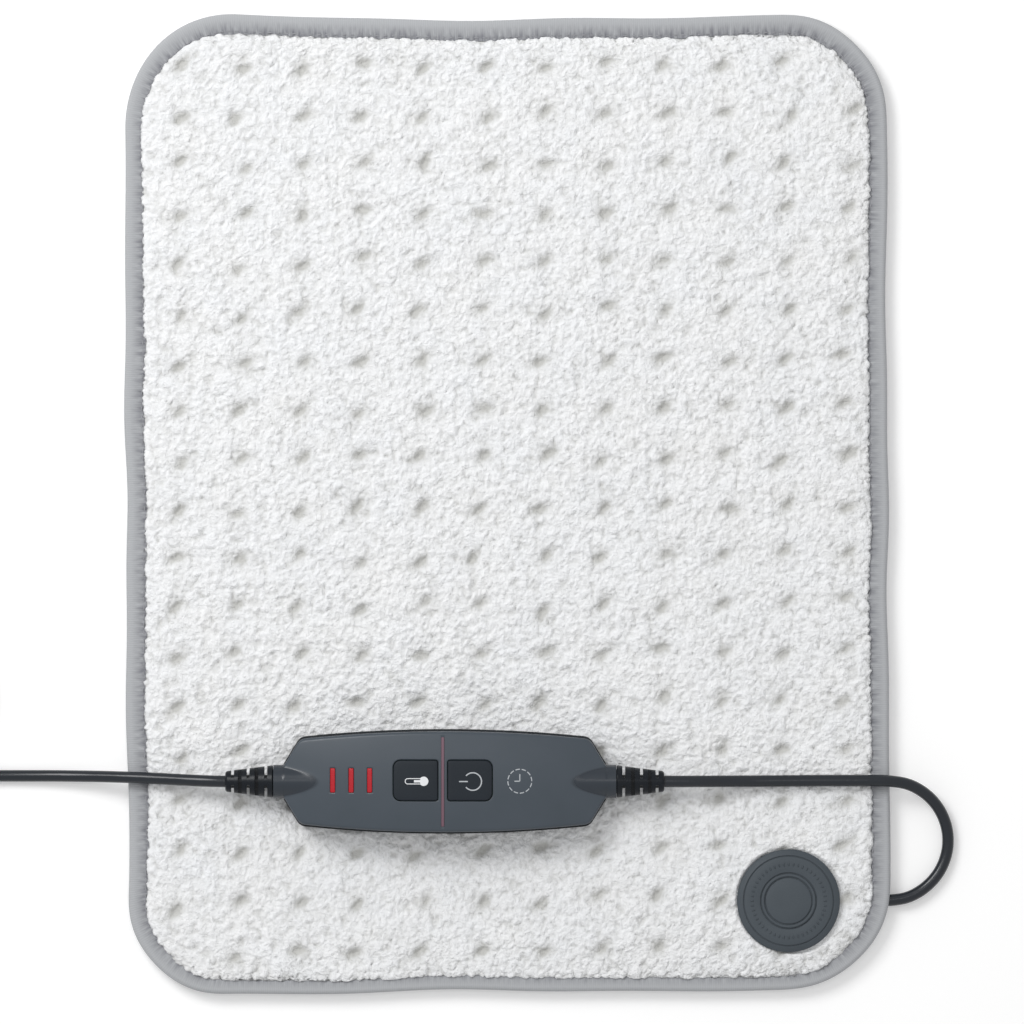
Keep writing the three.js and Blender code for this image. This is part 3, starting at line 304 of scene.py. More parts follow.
def coil_line(points_each_turn):
    """The coil from the bottom of its outermost lower turn, clockwise seen from above. The radius drops
    by a pitch in each lower turn but the last, which climbs by a pitch, and grows by a pitch in each
    upper turn."""
    turn = np.linspace(0, COIL_TURNS, int(COIL_TURNS * points_each_turn) + 1)
    inner = COIL_COLUMNS - 1
    steps_in = sum(ease(turn, k + EASE_IN[0], k + EASE_IN[1]) for k in range(inner))
    steps_out = sum(ease(turn, k + EASE_OUT[0], k + EASE_OUT[1]) for k in range(inner + 1, 2 * inner + 1))
    radius = coil_outer - COIL_PITCH * (steps_in - steps_out)
    height = coil_floor + COIL_PITCH * ease(turn, inner + CLIMB[0], inner + CLIMB[1])
    angle = -2 * np.pi * (turn + 0.25)
    return np.stack([coil_x + radius * np.cos(angle), coil_y + radius * np.sin(angle), height], axis=1)


def line_length(line):
    """The sum of the distances between neighbouring points."""
    return float(np.linalg.norm(np.diff(line, axis=0), axis=1).sum())


mains_line = smooth_line(np.concatenate([MAINS_LEAD_ROUTE, coil_line(24), PLUG_TAIL_ROUTE]), 2.5 * MM)
pad_line = smooth_line(PAD_LEAD_ROUTE, 2 * MM)
print(f"mains lead {line_length(mains_line):.3f} m, pad lead {line_length(pad_line):.3f} m")


# %% A round section carried along a line
def frames_along(line):
    """Tangent, side and up of each point: the side is level, square to the tangent, and up is square to
    both."""
    tangent = np.gradient(line, axis=0)
    tangent /= np.linalg.norm(tangent, axis=1, keepdims=True)
    side = np.cross(tangent, (0, 0, 1))
    side /= np.linalg.norm(side, axis=1, keepdims=True)
    return tangent, side, np.cross(side, tangent)


def tube(name, line, radius, sides):
    """Each point of the line carries a circle in the plane of its side and up directions."""
    _, side, up = frames_along(line)
    angle = np.linspace(0, 2 * np.pi, sides, endpoint=False)[None, :, None]
    grid = line[:, None] + radius * (np.cos(angle) * side[:, None] + np.sin(angle) * up[:, None])
    return surface(name, grid, wrap_columns=True, close="ends", span=(2 * np.pi * radius, line_length(line)))


steepest = np.abs(frames_along(pad_line)[0][:, 2]).max()
print(f"the pad lead slopes by up to {math.degrees(math.asin(steepest)):.0f} degrees")


# %% Lead jacket material and the two leads
# Plasticised PVC, extruded smooth: near black, with a soft long highlight and slight draw lines.
jacket = moulded("jacket_extruded_pvc", "#0d1620", "#0a1119", 2.5, 0.008, 0.18, 0.26, Specular_IOR_Level=0.4)
pad_cord = dress(tube("pad_cord", pad_line, LEAD_DIAMETER / 2, 20), jacket,
                 stands_for=["pad_lead"])
mains_cord = dress(tube("mains_cord", mains_line, LEAD_DIAMETER / 2, 16), jacket,
                   stands_for=["mains_lead", "mains_coil", "plug_tail"])

# %% [markdown]
# ## Floor and light
# The photograph has a clean white ground with a soft shadow to the right and below, so the main light is
# a broad panel above the pad's upper left corner, and an even sky fills the rest. A narrow strip high
# overhead draws the long highlights on the leads and boots. Together they light a level surface just
# enough that a colour shows about as it is written. The floor adds a little glow for the camera, so that
# it is white where nothing shades it and still keeps the shadow.


# %% Studio
def seen_by_eye(tree):
    """1 for rays from the camera, and for those that a mirror or glass sends on, and 0 for rays of
    light."""
    path = add_node(tree, "ShaderNodeLightPath")
    seen = add_node(tree, "ShaderNodeMath", {
        0: path.outputs["Is Camera Ray"], 1: path.outputs["Is Glossy Ray"]}, operation="MAXIMUM")
    return add_node(tree, "ShaderNodeMath", {0: seen.outputs[0], 1: path.outputs["Is Transmission Ray"]},
                    operation="MAXIMUM").outputs[0]


def studio_floor():
    """A level square much larger than the view, in pale paint."""
    half = 4.0
    corner = np.array([[[-half, -half], [half, -half]], [[-half, half], [half, half]]])
    floor = surface("floor", np.concatenate([corner, np.full((2, 2, 1), -0.05 * MM)], axis=2), faces="up")
    material, tree, shader = new_material("floor_matt_white", Roughness=0.9)
    shader.inputs["Base Color"].default_value = linear("#efefef")
    shader.inputs["Specular IOR Level"].default_value = 0.1
    glow = add_node(tree, "ShaderNodeMath", {0: seen_by_eye(tree), 1: 0.22}, operation="MULTIPLY")
    shader.inputs["Emission Color"].default_value = (1, 1, 1, 1)
    tree.links.new(glow.outputs[0], shader.inputs["Emission Strength"])
    floor.data.materials.append(material)


def studio_light(name, place, width, height, watts):
    """A rectangular light panel that faces the pad's middle."""
    data = bpy.data.lights.new(name, "AREA")
    data.shape = "RECTANGLE"
    data.size, data.size_y = width, height
    data.energy = watts
    lamp = bpy.data.objects.new(name, data)
    lamp.location = place
    aim = -lamp.location
    lamp.rotation_mode = "QUATERNION"
    lamp.rotation_quaternion = aim.to_track_quat("-Z", "Y")
    bpy.context.scene.collection.objects.link(lamp)


def studio_sky(strength):
    """Even fill light, and plain white where the camera or a reflection sees past the floor."""
    world = bpy.data.worlds.new("studio")
    world.use_nodes = True
    bpy.context.scene.world = world
    tree = world.node_tree
    level = add_node(tree, "ShaderNodeMix", {"Factor": seen_by_eye(tree), "A": strength, "B": 1.0})
    tree.links.new(level.outputs["Result"], tree.nodes["Background"].inputs["Strength"])
    tree.nodes["Background"].inputs["Color"].default_value = (1, 1, 1, 1)


studio_floor()
studio_light("key_panel", (-0.70, 0.70, 1.25), 0.7, 0.7, 13.5)
studio_light("top_strip", (0.0, 0.25, 2.2), 1.4, 0.12, 3.0)
studio_sky(0.55)
bpy.context.scene.view_settings.view_transform = "Standard"
print("studio set")

# %% [markdown]
# ## The pad's outline
# The bound edge is a rectangle with round corners. Such an outline is a smaller core rectangle grown by
# the corner radius, so the direction out of the pad at any place near the edge runs from the nearest core
# point. The sewn edge isn't perfect: the pad leans a little, its top edge sags, and slow waves run round
# it.

# %% Outline, panels and the wandering edge
binding_low, binding_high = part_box("edge_binding")
HALF_X = (binding_high.x - binding_low.x) / 2
HALF_Y = (binding_high.y - binding_low.y) / 2
CORNER = 46 * MM
EDGE_TOP = binding_high.z
STRAIGHT_SHARE = 0.76  # of a panel's rows that lie between its corners
CORNER_FULL = ((3.0 * MM, 0.0), (1.5 * MM, 2.3 * MM))  # left and right, each lower and upper
EDGE_WAVES = ((0.4 * MM, 9, 1.0), (0.3 * MM, 17, 2.2))  # height, count round the pad and phase
TOP_FULL, TOP_SAG, SAG_REACH = 2.0 * MM, 2.8 * MM, 85 * MM
BOTTOM_FULL, BOTTOM_LEFT_FULL, BOTTOM_REACH = 0.4 * MM, 1.2 * MM, 100 * MM
LEFT_FULL, RIGHT_FULL = 0.4 * MM, 1.2 * MM
PAD_LEAN = 0.0050
STRAY_FADE = 40 * MM


def edge_frame(x, y):
    """Outward direction and distance in from the outline, which stops growing at the core rectangle."""
    out_x = x - np.clip(x, CORNER - HALF_X, HALF_X - CORNER)
    out_y = y - np.clip(y, CORNER - HALF_Y, HALF_Y - CORNER)
    reach = np.hypot(out_x, out_y)
    return out_x / np.maximum(reach, 1e-9), out_y / np.maximum(reach, 1e-9), CORNER - reach


def wander(x, y):
    """How far the sewn edge strays: a lean in proportion to y, a bell-shaped sag between the top edge's
    raised ends, fuller sides and corners, and two waves round the pad. A corner's fullness is greatest on
    its diagonal. All fade out inwards from the edge."""
    out_x, out_y, inside = edge_frame(x, y)
    angle = np.arctan2(y, x)
    outward = sum(height * np.sin(count * angle + phase) for height, count, phase in EDGE_WAVES)
    diagonal = ease(2 * np.abs(out_x * out_y), 0, 1)
    outward = outward + diagonal * np.where(x < 0, *[np.where(y < 0, *pair) for pair in CORNER_FULL])
    top = (TOP_FULL - TOP_SAG * np.exp(-(x / SAG_REACH) ** 2)) * np.maximum(out_y, 0)
    bottom = (BOTTOM_FULL + BOTTOM_LEFT_FULL * ease(-x, 0, BOTTOM_REACH)) * np.minimum(out_y, 0)
    sides = LEFT_FULL * np.minimum(out_x, 0) + RIGHT_FULL * np.maximum(out_x, 0)
    near = 1 - ease(inside, 0, STRAY_FADE)
    return near * (outward * out_x + sides - PAD_LEAN * y), near * (outward * out_y + top + bottom)


def panel(u, v, inset):
    """x and y on a flat panel with the outline pulled in by inset. v runs from -1 to 1 along the pad,
    evenly between the corners and closer together round them, and x is the share u of the half width
    there."""
    half_x, half_y, corner = HALF_X - inset, HALF_Y - inset, CORNER - inset
    turn = np.clip((np.abs(v) - STRAIGHT_SHARE) / (1 - STRAIGHT_SHARE), 0, 1)
    rise = 1 - (1 - turn) ** 1.5
    straight = (half_y - corner) * np.minimum(np.abs(v) / STRAIGHT_SHARE, 1)
    y = np.sign(v) * (straight + corner * rise)
    x = u * (half_x - corner + corner * np.sqrt(np.maximum(1 - rise**2, 0)))
    return x, y + 0 * x


print(f"pad {2000 * HALF_X:.0f} by {2000 * HALF_Y:.0f} mm, edge {1000 * EDGE_TOP:.1f} mm high")

# %% [markdown]
# ## Quilting tacks
# Rows of short slanted tacks hold the fleece down on its wadding. They were set by a machine on a soft
# cloth, so the lattice is regular but each tack strays a millimetre or so, and each leans its own way.

# %% Where the tacks are
TACK_COLUMNS, TACK_ROWS = 12, 19
TACK_FIRST = np.array([-132.5, 179.1]) * MM
TACK_COLUMN_STEP = np.array([24.9, 0.25]) * MM
TACK_ROW_STEP = np.array([-0.18, -20.2]) * MM
TACK_STRAY = 1.2 * MM
TACK_LEAN, TACK_LEAN_STRAY = math.radians(38), 0.22
TACK_DEPTHS = (0.8, 1.22)
PIT_LENGTH, PIT_WIDTH, PULL_RADIUS = 3.4 * MM, 1.8 * MM, 5.0 * MM
tack_random = np.random.default_rng(7)
tack_c, tack_r = np.meshgrid(np.arange(TACK_COLUMNS), np.arange(TACK_ROWS))
tack_place = TACK_FIRST + tack_c[..., None] * TACK_COLUMN_STEP + tack_r[..., None] * TACK_ROW_STEP
tack_place = tack_place + tack_random.normal(0, TACK_STRAY, tack_place.shape)
tack_angle = TACK_LEAN + tack_random.normal(0, TACK_LEAN_STRAY, tack_c.shape)
tack_depth = tack_random.uniform(*TACK_DEPTHS, tack_c.shape)


def tack_pull(x, y):
    """Two shares from 0 to 1 at each point: how far it is in a tack's slanted pit, an ellipse-shaped
    bell, and how far in the wider pull round it, a round bell. The nearest lattice places are tried."""
    column = np.rint((x - TACK_FIRST[0]) / TACK_COLUMN_STEP[0]).astype(int)
    row = np.rint((y - TACK_FIRST[1]) / TACK_ROW_STEP[1]).astype(int)
    pit, pull = np.zeros_like(x), np.zeros_like(x)
    for right in (-1, 0, 1):
        for down in (-1, 0, 1):
            c = np.clip(column + right, 0, TACK_COLUMNS - 1)
            r = np.clip(row + down, 0, TACK_ROWS - 1)
            from_x, from_y = x - tack_place[r, c, 0], y - tack_place[r, c, 1]
            cos, sin = np.cos(tack_angle[r, c]), np.sin(tack_angle[r, c])
            along, across = from_x * cos + from_y * sin, from_y * cos - from_x * sin
            bell = np.exp(-(along / PIT_LENGTH) ** 2 - (across / PIT_WIDTH) ** 2)
            pit = np.maximum(pit, tack_depth[r, c] * bell)
            pull = np.maximum(pull, np.exp(-(from_x**2 + from_y**2) / PULL_RADIUS**2))
    return pit, pull


print(f"{tack_c.size} tacks")

# %% [markdown]
# ## Filling the quilt
# The wadding pushes the fleece up between its tacks. A formula could draw pillows, but cloth that is held
# at points makes its own folds, so a coarse closed bag is inflated by Blender's cloth solver, held along
# its edge, under it and at the tacks. Only the rise of its top is kept, and a smooth cap keeps it to a
# thin pad's fill.

# %% Inflate the quilt
BAG_COLUMNS, BAG_ROWS = 65, 97
BAG_INSET = 9 * MM
BAG_DEPTH = 5 * MM
RISE_CAP = 1.3 * MM
HELD_PULL = 0.67  # the bag is held where a tack's pull is stronger
PRESSURE, LAST_FRAME = 4, 20


def inflate_quilt():
    """The rise of the quilt's top, rows by columns, once pressure has filled a bag held at its tacks."""
    u, v = np.linspace(-1, 1, BAG_COLUMNS), np.linspace(-1, 1, BAG_ROWS)
    x, y = panel(u[None], v[:, None], BAG_INSET)
    top = np.stack([x, y, np.full_like(x, pad_top)], axis=2)
    under = (top - (0, 0, BAG_DEPTH))[:, ::-1]
    bag = surface("quilt_bag", np.concatenate([top, under], axis=1), wrap_columns=True, close="ends")
    held = np.ones((BAG_ROWS, 2 * BAG_COLUMNS), bool)
    held[2:-2, 2:BAG_COLUMNS - 2] = tack_pull(x, y)[1][2:-2, 2:-2] > HELD_PULL
    sewn = bag.vertex_groups.new(name="sewn")
    sewn.add(np.flatnonzero(held.ravel()).tolist(), 1.0, "REPLACE")
    cloth = bag.modifiers.new("inflate", "CLOTH")
    cloth.settings.vertex_group_mass = "sewn"
    cloth.settings.use_pressure = True
    cloth.settings.uniform_pressure_force = PRESSURE
    cloth.settings.effector_weights.gravity = 0
    cloth.point_cache.frame_start, cloth.point_cache.frame_end = 1, LAST_FRAME
    scene = bpy.context.scene
    for step in range(1, LAST_FRAME + 1):
        scene.frame_set(step)
    swollen = bag.evaluated_get(bpy.context.evaluated_depsgraph_get()).data
    height = np.zeros(3 * len(swollen.vertices), np.float32)
    swollen.vertices.foreach_get("co", height)
    rise = height.reshape(BAG_ROWS, 2 * BAG_COLUMNS, 3)[:, :BAG_COLUMNS, 2].astype(float) - pad_top
    bpy.data.objects.remove(bag)
    scene.frame_set(1)
    return RISE_CAP * np.tanh(np.maximum(rise, 0) / RISE_CAP)


quilt_rise = inflate_quilt()
print(f"quilt rises by up to {1000 * quilt_rise.max():.2f} mm, {1000 * quilt_rise.mean():.2f} mm on average")

# %% [markdown]
# ## Curly fleece
# The pile is a knitted polyester whose loops were brushed and tumbled into small curls, two or three
# millimetres across. Hair would not survive an export, so the curls are shape: round domes on a jittered
# lattice, in two sizes, pushed about by seeded random fields so that no two are alike.

# %% Random fields of one wavelength
FIELD_CELL = 0.35 * MM
FIELD_SHAPE = (1180, 930)
LOBE_STRAY = 0.42  # of the lattice's spacing, to either side
LOBE_HEIGHTS, LOBE_SPREAD = (0.7, 1.0), 0.9
PUSH, PUSH_WAVE, PATCH_WAVE = 0.7 * MM, 5 * MM, 12 * MM
LARGE_CURL, SMALL_CURL = 3.3 * MM, 1.9 * MM
LARGE_RISE, SMALL_RISE, PATCH_RISE = 1.3 * MM, 1.15 * MM, 0.14 * MM
CURL_LEVEL = 0.62  # a lobe's height that leaves the pile as high as it was


def random_field(seed, wavelength, spread=0.3):
    """White noise that keeps, of its Fourier transform, only waves near one length; its deviation is
    one."""
    noise = np.fft.rfft2(np.random.default_rng(seed).standard_normal(FIELD_SHAPE))
    waves = np.hypot(np.fft.fftfreq(FIELD_SHAPE[0], FIELD_CELL)[:, None],
                     np.fft.rfftfreq(FIELD_SHAPE[1], FIELD_CELL)[None])
    field = np.fft.irfft2(noise * np.exp(-0.5 * ((waves * wavelength - 1) / spread) ** 2), FIELD_SHAPE)
    return field / field.std()


def field_at(field, x, y):
    """The field between its cells, weighted by the distance to each of the four around a point."""
    row = y / FIELD_CELL + FIELD_SHAPE[0] / 2
    column = x / FIELD_CELL + FIELD_SHAPE[1] / 2
    r, c = np.floor(row).astype(int), np.floor(column).astype(int)
    down, right = row - r, column - c
    near = field[r, c] * (1 - right) + field[r, c + 1] * right
    far = field[r + 1, c] * (1 - right) + field[r + 1, c + 1] * right
    return near * (1 - down) + far * down


def domes(x, y, spacing, seed):
    """Height from 0 to 1 of round lobes on a jittered lattice: each falls off as the square of the
    distance from its middle, and the highest of the nine nearest counts."""
    random = np.random.default_rng(seed)
    columns, rows = int(2 * HALF_X / spacing) + 8, int(2 * HALF_Y / spacing) + 8
    place = random.uniform(-LOBE_STRAY, LOBE_STRAY, (rows, columns, 2))
    size = random.uniform(*LOBE_HEIGHTS, (rows, columns))
    across, up = x / spacing + columns / 2, y / spacing + rows / 2
    column, row = np.floor(across).astype(int), np.floor(up).astype(int)
    height = np.zeros_like(x)
    for right in (-1, 0, 1):
        for down in (-1, 0, 1):
            c, r = np.clip(column + right, 0, columns - 1), np.clip(row + down, 0, rows - 1)
            from_x, from_y = across - c - 0.5 - place[r, c, 0], up - r - 0.5 - place[r, c, 1]
            height = np.maximum(height, size[r, c] - (from_x**2 + from_y**2) / LOBE_SPREAD)
    return height


def curls(x, y):
    """Pile relief in metres, and how deep in a crease each point is, from 0 to 1. The relief is two sizes
    of domes at places that a slower field pushes about, so that they lose their round plan, on gently
    uneven ground."""
    push_x = PUSH * field_at(random_field(11, PUSH_WAVE), x, y)
    push_y = PUSH * field_at(random_field(12, PUSH_WAVE), x, y)
    large = domes(x + push_x, y + push_y, LARGE_CURL, 13)
    small = domes(x - push_y, y + push_x, SMALL_CURL, 14)
    patch = field_at(random_field(15, PATCH_WAVE), x, y)
    crease = np.clip(1.15 - 0.9 * large - 0.7 * small, 0, 1)
    relief = LARGE_RISE * (large - CURL_LEVEL) + SMALL_RISE * (small - CURL_LEVEL) + PATCH_RISE * patch
    return relief, crease


print("fields ready")

# %% [markdown]
# The controller, the leads and the lead coupling press the pile down where they lie on it, so the pile
# has a ceiling there that rises with the distance from each of them.

# %% What presses the pile down
case_low, case_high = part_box("upper_shell")
CASE_X, CASE_Y = (case_low.x + case_high.x) / 2, (case_low.y + case_high.y) / 2
CASE_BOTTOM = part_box("lower_shell")[0].z
cap_low, cap_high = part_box("coupling_cap")
CAP_X, CAP_Y = (cap_low.x + cap_high.x) / 2, (cap_low.y + cap_high.y) / 2
CAP_RADIUS = (cap_high.x - cap_low.x) / 2
CAP_UNDERSIDE = 9.0 * MM
CASE_FOOT = (70 * MM, 21 * MM)  # half of the stretch that the case and its fairings press
LEAD_Y, LEAD_FOOT = -113.5 * MM, 1.8 * MM
CASE_PRESS, CAP_PRESS = 0.1 * MM, 0.3 * MM
PILE_SLOPE, RIM_SLOPE = 0.5, 2.2  # beside the case and the leads, and beside the coupling


def pile_ceiling(x, y):
    """The highest that the pile may stand: just under the case and the leads, and under the coupling's
    rim."""
    case_away = np.maximum(np.abs(x - CASE_X) - CASE_FOOT[0], np.abs(y - CASE_Y) - CASE_FOOT[1])
    lead_away = np.abs(y - LEAD_Y) - LEAD_FOOT
    cap_away = np.hypot(x - CAP_X, y - CAP_Y) - CAP_RADIUS
    under_case = CASE_BOTTOM - CASE_PRESS + PILE_SLOPE * np.maximum(case_away, 0)
    under_lead = CASE_BOTTOM + PILE_SLOPE * np.maximum(lead_away, 0)
    under_cap = CAP_UNDERSIDE - CAP_PRESS + RIM_SLOPE * np.maximum(cap_away, 0)
    return np.minimum(np.minimum(under_case, under_lead), under_cap)


def refine(values, places, axis):
    """Values between the lines of a coarse grid, along one axis, by Catmull-Rom cubics."""
    values = np.moveaxis(values, axis, 0)
    last = len(values) - 1
    i = np.clip(np.floor(places).astype(int), 0, last - 1)
    t = (places - i).reshape(-1, *[1] * (values.ndim - 1))
    p0, p1, p2, p3 = (values[np.clip(i + k, 0, last)] for k in (-1, 0, 1, 2))
    cubic = 0.5 * (2 * p1 + (p2 - p0) * t + (2 * p0 - 5 * p1 + 4 * p2 - p3) * t**2
                   + (3 * p1 - p0 - 3 * p2 + p3) * t**3)
    return np.moveaxis(cubic, 0, axis)


print(f"case over ({1000 * CASE_X:.1f}, {1000 * CASE_Y:.1f}) mm")

# %% Shape the fleece
FLEECE_COLUMNS, FLEECE_ROWS = 531, 711
FLEECE_INSET = 7.3 * MM
FLEECE_TOP = 10.0 * MM
FLEECE_UNDERSIDE = 7.35 * MM
RIM_WIDTH = 6 * MM
TUCK = 1.8 * MM
RIM_LIFT = 0.5 * MM
PULL_DEPTH, PIT_DEPTH = 0.4 * MM, 1.7 * MM
FRINGE, FRINGE_FADE = 0.6 * MM, 5 * MM
TOP_SHORT, BOTTOM_OVER = 0.9 * MM, 1.8 * MM  # the pile stops short at the top and hangs over at the bottom
LEFT_SHORT, LEFT_GAIN, LEFT_TURN = 0.5 * MM, 1.3 * MM, (60 * MM, 150 * MM)


def fleece_front():
    """The panel's points, raised to a rounded rim, the quilt's rise and the curls, less the tacks' pull;
    the last line all round is tucked under to close the piece with a flat underside."""
    u = np.concatenate([[-1], np.linspace(-1, 1, FLEECE_COLUMNS), [1]])
    v = np.concatenate([[-1], np.linspace(-1, 1, FLEECE_ROWS), [1]])
    x, y = panel(u[None], v[:, None], FLEECE_INSET)
    out_x, out_y, inside = edge_frame(x, y)
    inside = np.maximum(inside - FLEECE_INSET, 0)
    rise = refine(quilt_rise, (u + 1) / 2 * (BAG_COLUMNS - 1), 1)
    rise = refine(rise, (v + 1) / 2 * (BAG_ROWS - 1), 0)
    pile, crease = curls(x, y)
    pit, pull = tack_pull(x, y)
    rim = np.sqrt(1 - (1 - np.clip(inside / RIM_WIDTH, 0, 1)) ** 2)
    low = EDGE_TOP + RIM_LIFT
    z = low + (FLEECE_TOP - low) * rim + rise + pile * (0.5 + 0.5 * rim) * (1 - 0.5 * np.minimum(pit, 1))
    z -= PULL_DEPTH * pull + PIT_DEPTH * pit
    z = np.maximum(np.minimum(z, pile_ceiling(x, y)), FLEECE_UNDERSIDE + 0.2 * MM)
    ragged = 0.9 * np.clip(pile, -FRINGE, FRINGE) - np.where(out_y > 0, TOP_SHORT, BOTTOM_OVER) * out_y
    left = (LEFT_SHORT - LEFT_GAIN * ease(y, *LEFT_TURN)) * np.minimum(out_x, 0)
    ragged = (ragged + left) * (1 - ease(inside, 0, FRINGE_FADE))
    stray_x, stray_y = wander(x, y)
    x, y = x + stray_x + ragged * out_x, y + stray_y + ragged * out_y
    tucked = np.ones(x.shape, bool)
    tucked[1:-1, 1:-1] = False
    x, y = np.where(tucked, x - TUCK * out_x, x), np.where(tucked, y - TUCK * out_y, y)
    z = np.where(tucked, FLEECE_UNDERSIDE, z)
    thing = surface("fleece_front", np.stack([x, y, z], axis=2), close="rim", faces="up", sharp=180)
    # painted shade: how grey the pile is painted in the tacks' pits and pulls and in the creases between
    # curls
    return mark_points(thing, "painted_pile_shade", np.clip(1.06 * pit + 0.15 * pull + 0.75 * crease, 0, 1))


def fleece_material():
    """Polyester fleece, knitted and tumbled: bright matt white with a soft sheen; the pile is painted grey in
    the tacks' pits and pulls and in the creases between curls, as painted shade. The finest fibres are drawn
    as relief of about a millimetre, coarse enough to show."""
    material, tree, shader = new_material("fleece_tumbled_polyester", Roughness=0.95, Sheen_Weight=0.15,
                                          Sheen_Roughness=0.6, Specular_IOR_Level=0.2)
    place = add_node(tree, "ShaderNodeTexCoord").outputs["Object"]
    painted_pile_shade = add_node(tree, "ShaderNodeAttribute", attribute_name="painted_pile_shade")
    cloud = add_node(tree, "ShaderNodeTexNoise", {"Vector": place, "Scale": per_metre(18), "Detail": 2.0})
    fibre = add_node(tree, "ShaderNodeTexNoise", {"Vector": place, "Scale": per_metre(0.95), "Detail": 4.0})
    white = add_node(tree, "ShaderNodeMix", {"Factor": cloud.outputs["Fac"]}, data_type="RGBA")
    white.inputs["A"].default_value = linear("#fafafa")
    white.inputs["B"].default_value = linear("#f6f8fb")
    # painted shade: the pile turns grey where the painted shade mark is high
    ground = add_node(tree, "ShaderNodeMix", {"Factor": painted_pile_shade.outputs["Fac"], "A": white.outputs["Result"]},
                      data_type="RGBA")
    ground.inputs["B"].default_value = linear("#cacac7")
    relief = add_node(tree, "ShaderNodeBump", {
        "Height": fibre.outputs["Fac"], "Strength": 0.9, "Distance": 0.9 * MM})
    tree.links.new(ground.outputs["Result"], shader.inputs["Base Color"])
    tree.links.new(relief.outputs["Normal"], shader.inputs["Normal"])
    return material


fleece = dress(fleece_front(), fleece_material(), stands_for=["front_cover"])

# %% [markdown]
# ## Bound edge
# A woven tape is folded round the layers and sewn through. It is a profile carried round the outline:
# over the top from its sewn border, round the edge, back underneath, and inside again as the tape's other
# face. Stitching pulls the sewn border down and into small puckers, while the fold outside stays round
# and smooth.

# %% Carry the tape's profile round the outline
BINDING_WIDTH = 8.6 * MM
TAPE = 0.7 * MM
FOLD = 1.8 * MM
BINDING_STEP = 0.8 * MM
PUCKER_LENGTHS, PUCKER_WAVES, PUCKER_HEIGHT = (2.6, 7.0), 9, 0.30 * MM


def outline_points(step):
    """Evenly spaced places round the outline, clockwise from the top left corner's end, and the
    directions out of the pad there: four straight stretches joined by quarter circles."""
    core_x, core_y = HALF_X - CORNER, HALF_Y - CORNER
    sides = np.array([2 * core_x, 2 * core_y, 2 * core_x, 2 * core_y])
    quarter = np.pi / 2 * CORNER
    starts = np.concatenate([[0], np.cumsum(sides + quarter)])
    place = np.linspace(0, starts[-1], int(starts[-1] / step), endpoint=False)
    side = np.searchsorted(starts, place, side="right") - 1
    along = np.minimum(place - starts[side], sides[side])
    turn = (place - starts[side] - along) / CORNER
    angle = np.pi / 2 - side * np.pi / 2 - turn
    core = np.array([[-core_x, core_y], [core_x, core_y], [core_x, -core_y], [-core_x, -core_y]])[side]
    ahead = np.array([[1, 0], [0, -1], [-1, 0], [0, 1]])[side]
    out = np.stack([np.cos(angle), np.sin(angle)], axis=1)
    return core + along[:, None] * ahead + CORNER * out, out, place


def tape_profile():
    """Distance in from the outline and height of the folded tape, once round: outer face, then inner
    face."""
    flat = np.linspace(BINDING_WIDTH, FOLD, 11)[:-1]
    turn = np.linspace(0, np.pi / 2, 7)
    top = EDGE_TOP + 0.45 * MM * np.sin(np.pi * (BINDING_WIDTH - flat) / (BINDING_WIDTH - FOLD) / 1.6)
    shoulder = top[-1]
    outer_in = np.concatenate([flat, FOLD * (1 - np.sin(turn)), FOLD * (1 - np.cos(turn)), flat[::-2]])
    outer_z = np.concatenate([
        top, shoulder - FOLD * (1 - np.cos(turn)), FOLD * (1 - np.sin(turn)), 0 * flat[::-2]])
    inner_in = np.array([BINDING_WIDTH, 4 * MM, FOLD, TAPE, TAPE, FOLD, 4 * MM, BINDING_WIDTH])
    inner_z = np.array([TAPE] * 3 + [FOLD, EDGE_TOP - FOLD] + [EDGE_TOP - TAPE] * 3)
    return np.concatenate([outer_in, inner_in]), np.concatenate([outer_z, inner_z]), len(outer_in)


def binding_grid():
    """Outline places by profile points. Puckers lift and drop the tape's flat faces, growing towards its
    border."""
    places, out, along = outline_points(BINDING_STEP)
    inside, height, outer_count = tape_profile()
    flat = places[:, None] - inside[None, :, None] * out[:, None]
    x, y = flat[..., 0], flat[..., 1]
    stray_x, stray_y = wander(x, y)
    random = np.random.default_rng(21)
    lengths = random.uniform(*PUCKER_LENGTHS, PUCKER_WAVES) * MM
    phases = random.uniform(0, 2 * np.pi, PUCKER_WAVES)
    around = along[-1] + along[1]
    counts = np.rint(around / lengths)
    puckers = np.sin(2 * np.pi * counts * along[:, None] / around + phases).sum(1) / (PUCKER_WAVES / 2)
    sewn = ease(inside, 2.5 * MM, BINDING_WIDTH) * (np.arange(len(inside)) < outer_count)
    lift = PUCKER_HEIGHT * puckers[:, None] * sewn[None]
    z = height[None] + np.where(height[None] > EDGE_TOP / 2, lift, np.maximum(lift, 0))
    steps = np.hypot(np.diff(inside, append=inside[0]), np.diff(height, append=height[0]))
    girth = np.concatenate([[0], np.cumsum(steps)])
    return np.stack([x + stray_x, y + stray_y, z + 0 * x], axis=2), (girth, around)


